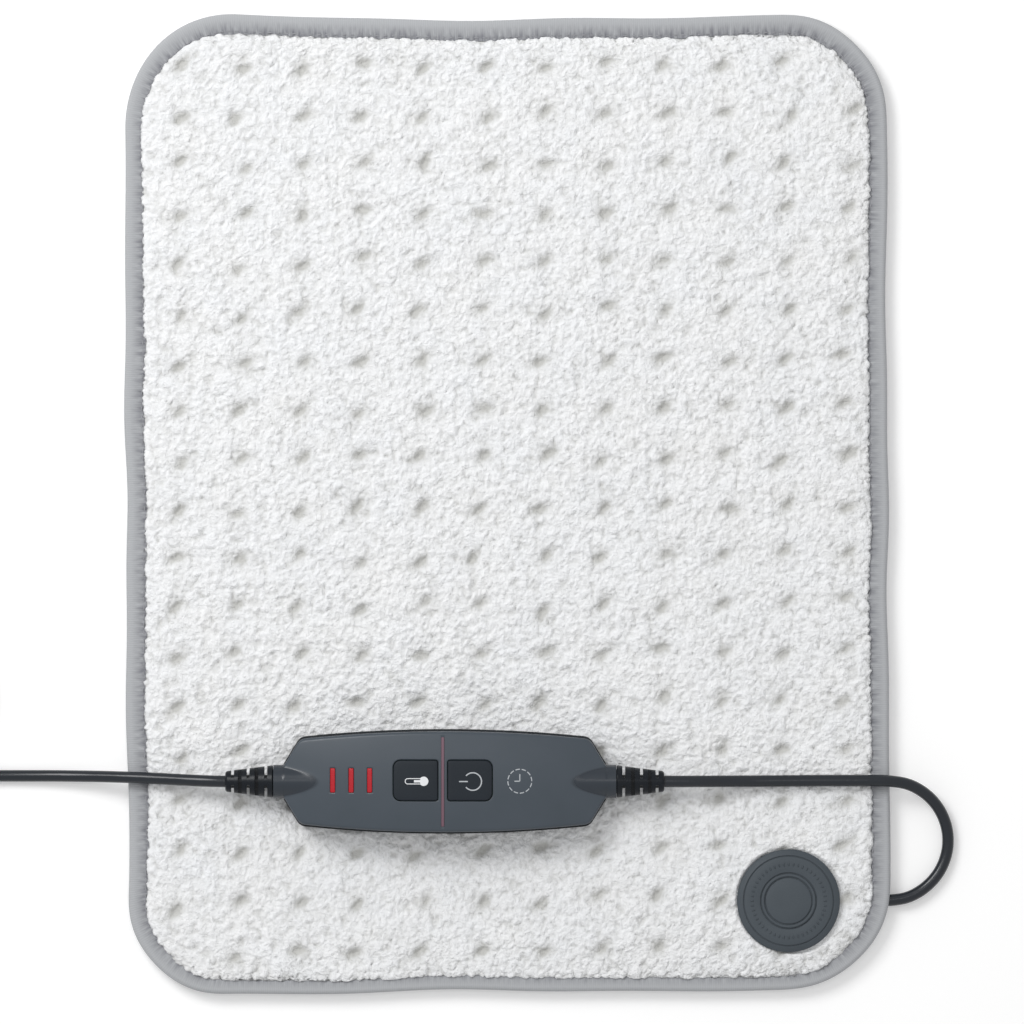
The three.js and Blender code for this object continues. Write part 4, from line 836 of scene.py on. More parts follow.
def binding_material():
    """Woven polyester tape: fine cross ribs of 0.9 mm that a slow wander breaks up. By the sewn border it is
    painted darker in streaks, as painted shade of the fleece's overhanging edge and of the puckers. Its UV
    map is in metres."""
    material, tree, shader = new_material("tape_woven_polyester", Roughness=0.8, Sheen_Weight=0.1,
                                          Specular_IOR_Level=0.25)
    spot = add_node(tree, "ShaderNodeTexCoord").outputs["UV"]
    ribs = add_node(tree, "ShaderNodeTexWave", {
        "Vector": spot, "Scale": 2 * np.pi / (20 * 0.9 * MM), "Distortion": 2.5, "Detail": 2.0,
        "Detail Scale": 1.2}, bands_direction="Y")
    stretch = add_node(tree, "ShaderNodeMapping", {"Vector": spot, "Scale": (0.25, 1.0, 1.0)})
    streak = add_node(tree, "ShaderNodeTexNoise", {
        "Vector": stretch.outputs["Vector"], "Scale": per_metre(1.5), "Detail": 3.0})
    across = add_node(tree, "ShaderNodeSeparateXYZ", {"Vector": spot}).outputs["X"]
    # painted shade: strongest at the sewn border under the fleece's edge, fading out towards the fold, in
    # pucker streaks
    border = add_node(tree, "ShaderNodeMapRange", {
        "Value": across, "From Min": 1.6 * MM, "From Max": 6.5 * MM, "To Min": 1.25, "To Max": 0.0})
    pucker_shade = add_node(tree, "ShaderNodeMapRange", {
        "Value": streak.outputs["Fac"], "From Min": 0.25, "From Max": 0.75})
    dark = add_node(tree, "ShaderNodeMath", {0: pucker_shade.outputs["Result"], 1: border.outputs["Result"]},
                    operation="MULTIPLY")
    tape = add_node(tree, "ShaderNodeMix", {"Factor": dark.outputs[0]}, data_type="RGBA")
    tape.inputs["A"].default_value = linear("#b2b4b7")
    # colour of the painted shade by the border
    tape.inputs["B"].default_value = linear("#7d7e84")
    thread = add_node(tree, "ShaderNodeMix", {"Factor": ribs.outputs["Fac"], "A": tape.outputs["Result"]},
                      data_type="RGBA", blend_type="MULTIPLY")
    thread.inputs["B"].default_value = linear("#f7f7f7")
    weave = add_node(tree, "ShaderNodeBump", {
        "Height": ribs.outputs["Fac"], "Strength": 0.6, "Distance": 0.08 * MM})
    tree.links.new(thread.outputs["Result"], shader.inputs["Base Color"])
    tree.links.new(weave.outputs["Normal"], shader.inputs["Normal"])
    return material


tape_grid, tape_span = binding_grid()
tape_cloth = binding_material()
binding = surface("binding_tape", tape_grid, wrap_rows=True, wrap_columns=True, span=tape_span)
dress(binding, tape_cloth, stands_for=["edge_binding"])

# %% [markdown]
# One seam runs round the tape near its border and shows on both faces. A stitch is a short thread that
# rises from its hole and sinks into the next, so one capsule of a few dozen faces is laid once for each
# stitch.

# %% Stitches
STITCH_PITCH = 3.4 * MM
STITCH_INSET = 7.1 * MM
STITCH_HALF, STITCH_THICK, STITCH_BOW = 1.15 * MM, 0.26 * MM, 0.22 * MM


def stitch_row(name, height, sign):
    """Each stitch is an arc along the seam, with a round section that thins at both ends."""
    places, out, along = outline_points(STITCH_PITCH)
    flat = places - STITCH_INSET * out
    stray = np.stack(wander(flat[:, 0], flat[:, 1]), axis=1)
    ahead = np.stack([out[:, 1], -out[:, 0]], axis=1)
    t = np.linspace(-1, 1, 6)
    length, thick = STITCH_HALF * t, STITCH_THICK * np.sqrt(1.02 - t**2)
    bow = STITCH_BOW * (1 - t**2)
    angle = np.linspace(0, 2 * np.pi, 6, endpoint=False)
    across, up = thick[:, None] * np.cos(angle), thick[:, None] * np.sin(angle) + bow[:, None]
    level = (flat + stray)[:, None, None] + length[None, :, None, None] * ahead[:, None, None]
    level = level + across[None, ..., None] * out[:, None, None]
    z = np.broadcast_to(height + sign * up, level.shape[:3])
    return surface(name, np.concatenate([level, z[..., None]], axis=3), wrap_columns=True, close="ends")


# Spun polyester sewing thread, a shade darker than the tape, with a slight twist in its relief.
seam_thread = moulded("thread_spun_polyester", "#a2a3a7", "#8c8d92", 0.5, 0.05, 0.7, 0.85)
dress(stitch_row("seam_stitches_top", EDGE_TOP + 0.12 * MM, 1), seam_thread)
dress(stitch_row("seam_stitches_back", 0.42 * MM, -1), seam_thread)

# %% [markdown]
# ## Back of the pad
# The back is a flat brushed cloth that the same tacks pull in. It has a round hole for the coupling's
# base. A block of cells is left out of the grid there, and the lines round it are drawn onto circles, so
# the hole's rim is smooth.

# %% Back cloth
BACK_COLUMNS, BACK_ROWS = 185, 241
BACK_INSET = 7.4 * MM
BACK_LEVEL, BACK_PULL, BACK_PIT = 0.6 * MM, 0.7 * MM, 0.6 * MM
BACK_LOWEST, BACK_HIGHEST, BACK_THICK = 0.15 * MM, 1.9 * MM, 0.4 * MM
HOLE_RADIUS = CAP_RADIUS + 0.3 * MM
HOLE_BLOCK = 0.89 * HOLE_RADIUS  # half of a square as large as the hole
LEAD_CLEAR = 0.95 * MM  # the cloth stays lower than this under the lead's way into the coupling


def rear_cloth():
    """A level panel, drawn up at each tack. Round the hole, a point's ring number is 1 on the block's
    edge and grows outwards, and the point is drawn towards the hole's circle by a share that falls from 1
    on that edge to 0."""
    u, v = np.linspace(-1, 1, BACK_COLUMNS), np.linspace(-1, 1, BACK_ROWS)
    x, y = panel(u[None], v[:, None], BACK_INSET)
    pit, pull = tack_pull(x, y)
    z = BACK_LEVEL + BACK_PULL * pull + BACK_PIT * pit + 0.25 * curls(x, y)[0]
    at_lead = (x > CAP_X) & (np.abs(y - PAD_LEAD_ROUTE[-1][1]) < 5 * MM)
    z = np.clip(z, BACK_LOWEST, np.where(at_lead, LEAD_CLEAR, BACK_HIGHEST))
    row_ends = np.searchsorted(y[:, 0], (CAP_Y - HOLE_BLOCK, CAP_Y + HOLE_BLOCK))
    column_ends = np.searchsorted(x[row_ends.sum() // 2], (CAP_X - HOLE_BLOCK, CAP_X + HOLE_BLOCK))
    row_ring = np.abs(np.arange(BACK_ROWS) - row_ends.mean()) / (row_ends[1] - row_ends[0]) * 2
    column_ring = np.abs(np.arange(BACK_COLUMNS) - column_ends.mean()) / (column_ends[1] - column_ends[0]) * 2
    ring = np.maximum(row_ring[:, None], column_ring[None])
    drawn = (1 - ease(ring, 1, 1.9)) * ease(edge_frame(x, y)[2] - BACK_INSET, 0, 4 * MM)
    stray_x, stray_y = wander(x, y)
    x, y = x + stray_x, y + stray_y
    away = np.maximum(np.hypot(x - CAP_X, y - CAP_Y), 1e-6)
    pull_in = 1 + drawn * (HOLE_RADIUS / away - 1)
    x, y = CAP_X + (x - CAP_X) * pull_in, CAP_Y + (y - CAP_Y) * pull_in
    inside = ring <= 1
    whole = ~(inside[:-1, :-1] & inside[1:, :-1] & inside[:-1, 1:] & inside[1:, 1:])
    return surface("rear_cloth", np.stack([x, y, z], axis=2), faces="down", keep=whole.ravel())


# Brushed polyester knit: soft off-white with short fibres, in slow uneven shades.
back_knit = moulded("knit_brushed_polyester", "#eeeeec", "#e2e2e1", 0.8, 0.25, 0.9, 1.0, Sheen_Weight=0.1)
back = dress(rear_cloth(), back_knit, stands_for=["rear_cover"])
thicken = back.modifiers.new("cloth thickness", "SOLIDIFY")
thicken.thickness = BACK_THICK

# %% [markdown]
# On the back each tack shows as a short bar of thread, because the machine sews to and fro on one spot. A
# bar is a half-round ridge with a few waves along it for its stitches, laid once for each tack that the
# coupling leaves.


# %% Thread bars of the tacks
BAR_HALF, BAR_THICK, BAR_LEVEL = 2.6 * MM, 0.55 * MM, 1.55 * MM


def tack_bars():
    """Each bar runs along its tack's lean; its section is a half circle, thinner at the ends and between
    stitches."""
    clear = np.hypot(tack_place[..., 0] - CAP_X, tack_place[..., 1] - CAP_Y) > HOLE_RADIUS + 5 * MM
    inset = edge_frame(tack_place[..., 0], tack_place[..., 1])[2]
    shown = clear & (inset > 13 * MM)
    place, angle = tack_place[shown], tack_angle[shown][:, None, None]
    t = np.linspace(-1, 1, 13)
    thick = BAR_THICK * np.sqrt(1.03 - t**2) * (0.86 + 0.14 * np.cos(5 * np.pi * t))
    turn = np.linspace(0, np.pi, 5)
    across, down = thick[:, None] * np.cos(turn), thick[:, None] * np.sin(turn)
    along = BAR_HALF * t[:, None] + 0 * across
    x = place[:, 0, None, None] + along * np.cos(angle) - across * np.sin(angle)
    y = place[:, 1, None, None] + along * np.sin(angle) + across * np.cos(angle)
    z = np.broadcast_to(BAR_LEVEL - 0.9 * down, x.shape)
    return surface("tack_bars", np.stack([x, y, z], axis=3), wrap_columns=True, close="ends")


dress(tack_bars(), seam_thread)

# %% [markdown]
# ## Lead coupling
# The round boss is turned by a mould, so its surface is one profile swept round an axis: an upright rim,
# a bevel, a fine groove inside the bevel, and a raised ring between two more grooves. Short plain ribs
# stand on the flat between the bevel's groove and the ring's.

# %% Turn the coupling cap
CAP_TOP = cap_high.z


def turned(name, profile, x, y, sides):
    """Each row of the grid is one point of the profile, radius and height, carried round the axis."""
    angle = np.linspace(0, 2 * np.pi, sides, endpoint=False)
    radius, height = np.array(profile).T[:, :, None]
    grid = np.stack([x + radius * np.cos(angle), y + radius * np.sin(angle), height + 0 * angle], axis=2)
    return surface(name, grid, wrap_columns=True, close="ends", span=(2 * np.pi * CAP_RADIUS, CAP_RADIUS))


cap_profile = np.array([
    (4.0, -3.2), (20.9, -3.2), (21.15, -3.1), (21.2, -2.9), (21.2, -1.75), (21.1, -1.5), (20.8, -1.28),
    (19.3, -0.42), (19.0, -0.3), (18.8, -0.3), (18.7, -0.62), (18.35, -0.62), (18.2, -0.12), (17.9, 0.0),
    (11.95, 0.0), (11.75, -0.08), (11.6, -0.6), (11.25, -0.6), (11.1, -0.02), (10.85, 0.1), (10.3, 0.1),
    (10.05, -0.02), (9.9, -0.6), (9.5, -0.6), (9.35, -0.08), (9.1, 0.0), (4.0, 0.0), (1.5, 0.0),
]) * MM + (0, CAP_TOP)
# Glass-filled nylon: even dark grey, matt, with a fine spark-eroded grain.
boss_plastic = moulded("boss_moulded_nylon", "#484f55", "#40474d", 0.45, 0.03, 0.5, 0.65,
                       Specular_IOR_Level=0.3)
dress(turned("coupling_disc", cap_profile, CAP_X, CAP_Y, 128), boss_plastic,
      stands_for=["coupling_cap"])


def grip_ribs(count, inner, outer):
    """Low rounded ribs, spread round the cap, each a small dome stretched along the radius."""
    turn = np.linspace(0, 2 * np.pi, count, endpoint=False)[:, None, None]
    u, v = np.linspace(-1, 1, 7)[None, :, None], np.linspace(-1, 1, 5)[None, None]
    radius = (inner + outer) / 2 + (outer - inner) / 2 * u * np.sqrt(1 - v**2 / 2)
    side = 0.42 * MM * v * np.sqrt(1 - u**2 / 2)
    z = CAP_TOP - 0.03 * MM + 0.42 * MM * (1 - u**4) * (1 - v**2)
    x = CAP_X + radius * np.cos(turn) - side * np.sin(turn)
    y = CAP_Y + radius * np.sin(turn) + side * np.cos(turn)
    return surface("coupling_ribs", np.stack([x, y, z + 0 * x], axis=3), close="rim", faces="up")


dress(grip_ribs(48, 14.2 * MM, 15.9 * MM), boss_plastic)

# %% [markdown]
# ## Controller case
# The case is two moulded shells. Each is one closed section carried along the case: down the outside,
# round the edge and back along the inside. The half width changes along the case, the top is crowned, and
# near the ends the round fairing for the boot swells out of it. Sections like these keep the edge radius
# true all the way.

# %% Case measures and curves
CASE_END = 68.3 * MM
CASE_HEIGHT = 22 * MM
CASE_WALL = 2 * MM
PARTING = 9.5 * MM
PARTING_GAP = 0.3 * MM
# painted shade: the lower shell's near-black paint turns this lip into a dark line, which stands for the
# shade on the case's edge
LOWER_LIP = 0.8 * MM  # the lower shell stands out by this much and shows as a dark line round the upper one
FAIRING_RADIUS = 6.8 * MM
CROWN_END_DROP, CROWN_SIDE_DROP, CROWN_SIDE = 9.2 * MM, 1.5 * MM, 21.8 * MM
UPPER_EDGE, LOWER_EDGE = 1.5 * MM, 3.0 * MM
COLLAR_START, COLLAR_REACH = 66.22 * MM, 5 * MM
OPENING_BREAK = 0.12 * MM  # an opening's edge sinks by this much, so that it isn't sharp


def quadratic(start, middle, end, count):
    """Points on the quadratic Bezier curve with these three control points."""
    t = np.linspace(0, 1, count)[:, None]
    return (1 - t) ** 2 * np.array(start) + 2 * t * (1 - t) * np.array(middle) + t**2 * np.array(end)


case_side = np.concatenate([
    quadratic((0, 20.65), (28.7, 20.65), (57.4, 17.7), 30),
    quadratic((57.4, 17.7), (59.5, 17.45), (60.8, 15.4), 14),
    [(66.2, 6.5), (66.24, 4.0), (71.0, 4.0)]]) * MM


def half_width(x):
    """Half the case's width: bowed sides, rounded shoulders, slanting ends, then less than the
    fairing."""
    return np.interp(np.abs(x), *case_side.T)


def crown(x, y):
    """Height of the case's top: a parabola along it and a flatter one across it."""
    return CASE_HEIGHT - CROWN_END_DROP * (x / CASE_END) ** 2 - CROWN_SIDE_DROP * (y / CROWN_SIDE) ** 2


def with_fairing(y, z, radius):
    """Pushes a section's points out to the fairing's circle about the lead's axis, with a soft crease."""
    rise = z - PARTING
    reach = np.maximum(np.hypot(y, rise), 1e-6)
    grown = 0.5 * (reach + radius + np.sqrt((reach - radius) ** 2 + (0.4 * MM) ** 2))
    return y * grown / reach, PARTING + rise * grown / reach


def section(x, middle_rows, upper, depth):
    """Points across the case at each x, from one parting edge to the other: wall, edge arc, top or base,
    arc, wall. depth is how far this skin lies inside the case's face, and the middle rows keep their
    places across."""
    side = half_width(x)[:, None] - depth + (0 if upper else LOWER_LIP)
    radius = max((UPPER_EDGE if upper else LOWER_EDGE) - depth, 0.5 * MM)
    edge = side - radius
    shrink = np.minimum(1, (edge - 0.3 * MM) / middle_rows.max())
    between = middle_rows.max() * shrink + (edge - middle_rows.max() * shrink) * np.linspace(1, 0, 8)[:-1]
    top_y = np.concatenate([between, middle_rows[::-1] * shrink, -between[:, ::-1]], axis=1)
    turn = np.linspace(0, np.pi / 2, 7)[:-1]
    arc_y = edge + radius * np.cos(turn)
    if upper:
        top_z = crown(x[:, None], top_y) - depth
        start = PARTING + PARTING_GAP / 2
        arc_z = top_z[:, :1] - radius + radius * np.sin(turn)
    else:
        collar = np.where(np.abs(x) > COLLAR_START, PARTING - COLLAR_REACH, 0)[:, None]
        top_z = depth + collar + 0 * top_y
        start = PARTING - PARTING_GAP / 2
        arc_z = depth + collar + radius - radius * np.sin(turn) + 0 * edge
    wall_z = start + (arc_z[:, :1] - start) * np.linspace(0, 1, 6)[:-1]
    wall_y = side + 0 * wall_z
    y = np.concatenate([wall_y, arc_y, top_y, -arc_y[:, ::-1], -wall_y], axis=1)
    z = np.concatenate([wall_z, arc_z, top_z, arc_z[:, ::-1], wall_z[:, ::-1]], axis=1)
    return with_fairing(y, z, FAIRING_RADIUS - 0.8 * depth)


print(f"case {2000 * CASE_END:.1f} mm long, {2000 * half_width(0.0):.1f} mm wide")

# %% [markdown]
# Openings for the buttons, lights and screws are cut in the same grids: lines close to an opening's sides
# are moved onto them, its corners are drawn round, quads inside are left out, and short walls join the
# outer skin to the inner.

# %% Openings in a shell
GRID_NEAR = 0.151 * MM  # half a cell of the fine stretches, so that one line always reaches each side
CORNER_FADE = 0.75  # of a corner's radius, beyond its arc


def fit_to_openings(x, y, openings):
    """Moves the grid's nearest lines onto each opening's sides, and then rounds its corners: about an
    arc's centre, a point whose larger offset along x or y is m moves to the distance m, and less so
    beyond the arc. Also says which points lie on an opening's outline, and which lie on or inside it."""
    on_edge, within = np.zeros(x.shape, bool), np.zeros(x.shape, bool)
    for middle_x, middle_y, half_x, half_y, radii in openings:
        from_x, from_y = x - middle_x, y - middle_y
        side_x, side_y = np.abs(from_x), np.abs(from_y)
        along_y = (np.abs(side_x - half_x) < GRID_NEAR) & (side_y < half_y + GRID_NEAR)
        along_x = (np.abs(side_y - half_y) < GRID_NEAR) & (side_x < half_x + GRID_NEAR)
        side_x, side_y = np.where(along_y, half_x, side_x), np.where(along_x, half_y, side_y)
        on_edge |= along_x | along_y
        within |= (side_x <= half_x) & (side_y <= half_y)
        radius = np.where(from_x > 0, *radii)
        a, b = side_x - half_x + radius, side_y - half_y + radius
        larger = np.maximum(a, b)
        fade = 1 - ease(larger, radius, (1 + CORNER_FADE) * radius)
        pulled = 1 + fade * (larger / np.maximum(np.hypot(a, b), 1e-9) - 1)
        pulled = np.where((a > 0) & (b > 0), pulled, 1)
        x = middle_x + np.sign(from_x) * (a * pulled + half_x - radius)
        y = middle_y + np.sign(from_y) * (b * pulled + half_y - radius)
    return x, y, on_edge, within


def opening_walls(gone, loop):
    """Quads that join the outer skin to the inner one round the quads that are gone. Each side of such a
    quad is named by its neighbour and its two corners; outer column j faces inner column loop - 1 - j."""
    quads = []
    for beside, first, second in (((0, -1), (1, 0), (0, 0)), ((0, 1), (0, 1), (1, 1)),
                                  ((-1, 0), (0, 0), (0, 1)), ((1, 0), (1, 1), (1, 0))):
        kept = ~np.roll(gone, (-beside[0], -beside[1]), axis=(0, 1))
        row, column = np.nonzero(gone & kept)
        first_row, first_column = row + first[0], column + first[1]
        second_row, second_column = row + second[0], column + second[1]
        quads.append(np.stack([
            first_row * loop + first_column, second_row * loop + second_column,
            second_row * loop + loop - 1 - second_column,
            first_row * loop + loop - 1 - first_column], axis=1))
    return np.concatenate(quads)


def case_shell(name, stations, middle_rows, upper, openings, groove=None):
    """Outer and inner skins, joined along the parting edges and round the openings, in the pad's
    frame."""
    skins = []
    for depth in (0.0, CASE_WALL):
        flat_y, z = section(stations, middle_rows, upper, depth)
        flat_x = stations[:, None] + 0 * flat_y
        x, y, on_edge, within = fit_to_openings(flat_x, flat_y, openings)
        if upper:
            z = z + crown(x, y) - crown(flat_x, flat_y)
        if not depth:
            z = z - np.where(on_edge, OPENING_BREAK, 0) * (1 if upper else -1)
            z = z - (groove(x, y) if groove else 0)
            inside = within
        skins.append(np.stack([x, y, z], axis=2))
    corner_gone = inside[:-1, :-1] & inside[1:, :-1] & inside[:-1, 1:] & inside[1:, 1:]
    grid = np.concatenate([skins[0], skins[1][:, ::-1]], axis=1) + (CASE_X, CASE_Y, CASE_BOTTOM)
    edge = np.ones((len(stations) - 1, 1), bool)
    keep = np.concatenate([~corner_gone, edge, ~corner_gone[:, ::-1], edge], axis=1)
    thing = surface(name, grid, wrap_columns=True, close="ends", keep=keep.ravel(),
                    extra=opening_walls(corner_gone, grid.shape[1]))
    # painted shade: the fairing mark picks the points on the fairings' circle, which the case's material
    # paints darker
    x, y, z = np.moveaxis(grid - (CASE_X, CASE_Y, CASE_BOTTOM + PARTING), 2, 0)
    off_circle = np.abs(np.hypot(y, z) - FAIRING_RADIUS - 0.1 * MM)
    near_end = ease(np.abs(x), 50 * MM, 52 * MM)
    return mark_points(thing, "fairing", near_end * (1 - ease(off_circle, 0.15 * MM, 0.5 * MM)))


print("section and opening tools ready")

# %% Panel layout and the upper shell
PANEL_Y = 0.6 * MM
KEY_HALF = (9.1 * MM, 8.25 * MM)
KEY_X = {"temperature": -11.95 * MM, "power": 10.35 * MM}
DIVIDER_X, DIVIDER_HALF = -0.8 * MM, (0.6 * MM, 18.3 * MM)
LIGHT_X, LIGHT_HALF = [-46.0 * MM, -38.4 * MM, -30.8 * MM], (1.0 * MM, 5.0 * MM)
KEY_GAP, LIGHT_GAP = 0.3 * MM, 0.15 * MM


def graded(*stretches):
    """Places along a line: each stretch is a start, an end and a step, and the next one goes on from its
    end."""
    return np.concatenate([np.linspace(a, b, int(round((b - a) / step)), endpoint=False)
                           for a, b, step in stretches] + [[stretches[-1][1]]]) * MM


def divider_groove(x, y):
    """A straight groove, 0.5 mm deep, for the divider."""
    inside = np.abs(x - DIVIDER_X) < DIVIDER_HALF[0] + 0.11 * MM
    return np.where(inside, 0.5 * MM * (1 - ease(np.abs(y), 18.2 * MM, 18.6 * MM)), 0)


end_steps = [(54, 66.2, 0.4), (66.2, 66.26, 0.06), (66.26, 70.4, 0.7)]
start_steps = [(-b, -a, step) for a, b, step in end_steps[::-1]]
upper_stations = graded(*start_steps, (-54, -48.2, 0.8), (-48.2, -28.6, 0.3), (-28.6, -22.2, 0.8),
                        (-22.2, -1.52, 0.3), (-1.52, -1.5, 0.02), (-1.5, -0.1, 0.28), (-0.1, -0.08, 0.02),
                        (-0.08, 20.6, 0.3), (20.6, 54, 0.9), *end_steps)
key_openings = [(KEY_X[key], PANEL_Y, KEY_HALF[0] + KEY_GAP, KEY_HALF[1] + KEY_GAP, corners)
                for key, corners in (("temperature", (1.3 * MM, 3.3 * MM)), ("power", (3.3 * MM, 1.3 * MM)))]
light_openings = [(x, PANEL_Y, LIGHT_HALF[0] + LIGHT_GAP, LIGHT_HALF[1] + LIGHT_GAP, (0.5 * MM, 0.5 * MM))
                  for x in LIGHT_X]
# Acrylonitrile butadiene styrene, moulded with a fine satin grain: blue-grey, soft broad highlights.
# painted shade: where the fairing mark is 1, the case is painted darker for the shade on the fairings' steep
# curve, and is made glossier
case_plastic = moulded("case_moulded_abs", "#3f4750", "#374048", 0.35, 0.012, 0.30, 0.42,
                       ("fairing", "#222a33", 0.27), Specular_IOR_Level=0.4)
upper_case = case_shell("upper_case", upper_stations, graded((-10.2, 10.2, 0.3)), True,
                        key_openings + light_openings, divider_groove)
dress(upper_case, case_plastic, stands_for=["upper_shell"])

# %% Lower shell
screw_low, screw_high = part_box("shell_screw_1")
SCREW_HOLE = (screw_high.x - screw_low.x) / 2 + 0.3 * MM
lower_stations = graded(*start_steps[:-1], (-66.2, -49, 0.3), (-49, 49, 1.4), (49, 66.2, 0.3), *end_steps[1:])
screw_openings = [(x * MM, y * MM, SCREW_HOLE, SCREW_HOLE, (SCREW_HOLE, SCREW_HOLE))
                  for x in (-54, 54) for y in (-11, 11)]
lower_rows = graded((-14.6, -7.4, 0.3), (-7.4, 7.4, 1.2), (7.4, 14.6, 0.3))
lower_case = case_shell("lower_case", lower_stations, lower_rows, False, screw_openings)
# The same plastic, painted near black as painted shade: its lip draws the case's shaded edge as a dark line
# round the upper shell.
case_edge_shade = moulded("case_abs_painted_edge_shade", "#1b1f24", "#171a1f", 0.35, 0.02, 0.42, 0.55,
                    Specular_IOR_Level=0.3)
dress(lower_case, case_edge_shade, stands_for=["lower_shell"])

# %% [markdown]
# ## Buttons, lights and the red divider
# Each is a small block whose plan has round corners and whose top follows the case's crown a little
# higher. The plan is a loop of points, drawn in by the edge radius row by row and then closed towards the
# middle.


# %% Blocks that follow the crown
def plan_loop(half_x, half_y, radii, inset):
    """Points round a rectangle with a radius at each corner, from the upper right one anticlockwise,
    drawn in by inset; short straight runs lie between the corner arcs."""
    arcs = []
    for (sign_x, sign_y), start, radius in zip(((1, 1), (-1, 1), (-1, -1), (1, -1)), range(4), radii):
        turn = (start + np.linspace(0, 1, 7)) * np.pi / 2
        kept = max(radius - inset, 0.05 * MM)
        corner_x, corner_y = sign_x * (half_x - inset - kept), sign_y * (half_y - inset - kept)
        arcs.append(np.stack([corner_x + kept * np.cos(turn), corner_y + kept * np.sin(turn)], axis=1))
    loop = []
    for arc, following in zip(arcs, arcs[1:] + arcs[:1]):
        run = np.linspace(0, 1, 9)[1:-1, None]
        loop += [arc, arc[-1] * (1 - run) + following[0] * run]
    return np.concatenate(loop)


def crowned_block(name, middle, half, radii, proud, edge, foot):
    """Rows of the plan's loop: up the side, over the rounded edge, and in to the middle. Heights are over
    the crown."""
    turn = np.linspace(0, np.pi / 2, 6)
    insets = [0, 0, *(edge * (1 - np.cos(turn)))]
    levels = [foot, (foot + proud - edge) / 2, *(proud - edge + edge * np.sin(turn))]
    rows = [plan_loop(*half, radii, inset) for inset in insets]
    shares = (0.8, 0.55, 0.3, 0.08)
    rows = np.stack(rows + [share * rows[-1] for share in shares]) + middle
    level = np.array(levels + [proud] * len(shares))[:, None]
    z = crown(rows[..., 0], rows[..., 1]) + level
    grid = np.concatenate([rows, z[..., None]], axis=2) + (CASE_X, CASE_Y, CASE_BOTTOM)
    return surface(name, grid, wrap_columns=True, close="ends")


KEY_PROUD = 0.7 * MM
KEY_RADII = {"temperature": (1 * MM, 3 * MM, 3 * MM, 1 * MM), "power": (3 * MM, 1 * MM, 1 * MM, 3 * MM)}
# Soft-touch lacquer on moulded buttons: near-black blue-grey and quite matt, with a paler line on rounded
# edges.
key_plastic = moulded("button_soft_lacquer", "#161e26", "#131a21", 0.4, 0.015, 0.45, 0.6,
                      Specular_IOR_Level=0.25)
# Red acrylic light pipes with the diodes behind them lit: clear deep red that glows a little.
pipe_red = moulded("light_pipe_acrylic", "#b20f20", "#9c0c19", 0.8, 0.005, 0.25, 0.35,
                   Specular_IOR_Level=0.35, Emission_Color=linear("#d41222"), Emission_Strength=0.04)
# Printed red strip in a groove, dulled by a matt clear coat.
divider_red = moulded("divider_coated_red", "#6e4f59", "#664857", 0.8, 0.005, 0.4, 0.5)
for key, x in KEY_X.items():
    cap = crowned_block(f"{key}_cap", (x, PANEL_Y), KEY_HALF, KEY_RADII[key], KEY_PROUD, 0.5 * MM, -1.7 * MM)
    dress(cap, key_plastic, f"{key}_key", [f"{key}_button"])
divider = crowned_block("divider_line", (DIVIDER_X, 0), DIVIDER_HALF, [0.3 * MM] * 4,
                        0.12 * MM, 0.2 * MM, -0.45 * MM)
dress(divider, divider_red, stands_for=["divider_strip"])
for number, x in enumerate(LIGHT_X, 1):
    bar = crowned_block(f"light_bar_{number}", (x, PANEL_Y), LIGHT_HALF, [0.4 * MM] * 4,
                        0.15 * MM, 0.3 * MM, -2.4 * MM)
    dress(bar, pipe_red, stands_for=[f"light_pipe_{number}"])

# %% [markdown]
# ## Printed signs
# The signs are pad-printed ink, so each is a very thin ribbon along a line: a thermometer and a switch
# mark on the buttons, and a dashed ring with clock hands beside them.


# %% Ribbons of ink
def ribbon(name, lines, width, proud, closed=False, layer=0):
    """Thin flat bands along lines of points, all with the same count, on the surface that stands proud of
    the crown. Each point carries a rectangle across the line. A later layer of ink lies a hair higher."""
    lines = np.array(lines) * MM
    ahead = np.roll(lines, -1, 1) - np.roll(lines, 1, 1) if closed else np.gradient(lines, axis=1)
    ahead /= np.linalg.norm(ahead, axis=2, keepdims=True)
    across = np.stack([-ahead[..., 1], ahead[..., 0]], axis=2)
    side = np.array([-1, 1, 1, -1])[:, None] * width * MM / 2
    lift = (np.array([-0.05, -0.05, 0.02, 0.02]) + 0.01 * layer) * MM
    flat = lines[:, :, None] + side * across[:, :, None]
    z = crown(flat[..., 0], flat[..., 1]) + proud + lift
    grid = np.concatenate([flat, z[..., None]], axis=3) + (CASE_X, CASE_Y, CASE_BOTTOM)
    return surface(name, grid, wrap_rows=closed, wrap_columns=True, close="" if closed else "ends")


def arc(x, y, radius, start, end, count):
    """Points on a circle's arc between two angles in degrees."""
    turn = np.radians(np.linspace(start, end, count))
    return np.stack([x + radius * np.cos(turn), y + radius * np.sin(turn)], axis=1)


def straight(x0, y0, x1, y1, count=4):
    """Evenly spaced points on a straight line."""
    share = np.linspace(0, 1, count)[:, None]
    return np.array([[x0, y0]]) * (1 - share) + np.array([[x1, y1]]) * share


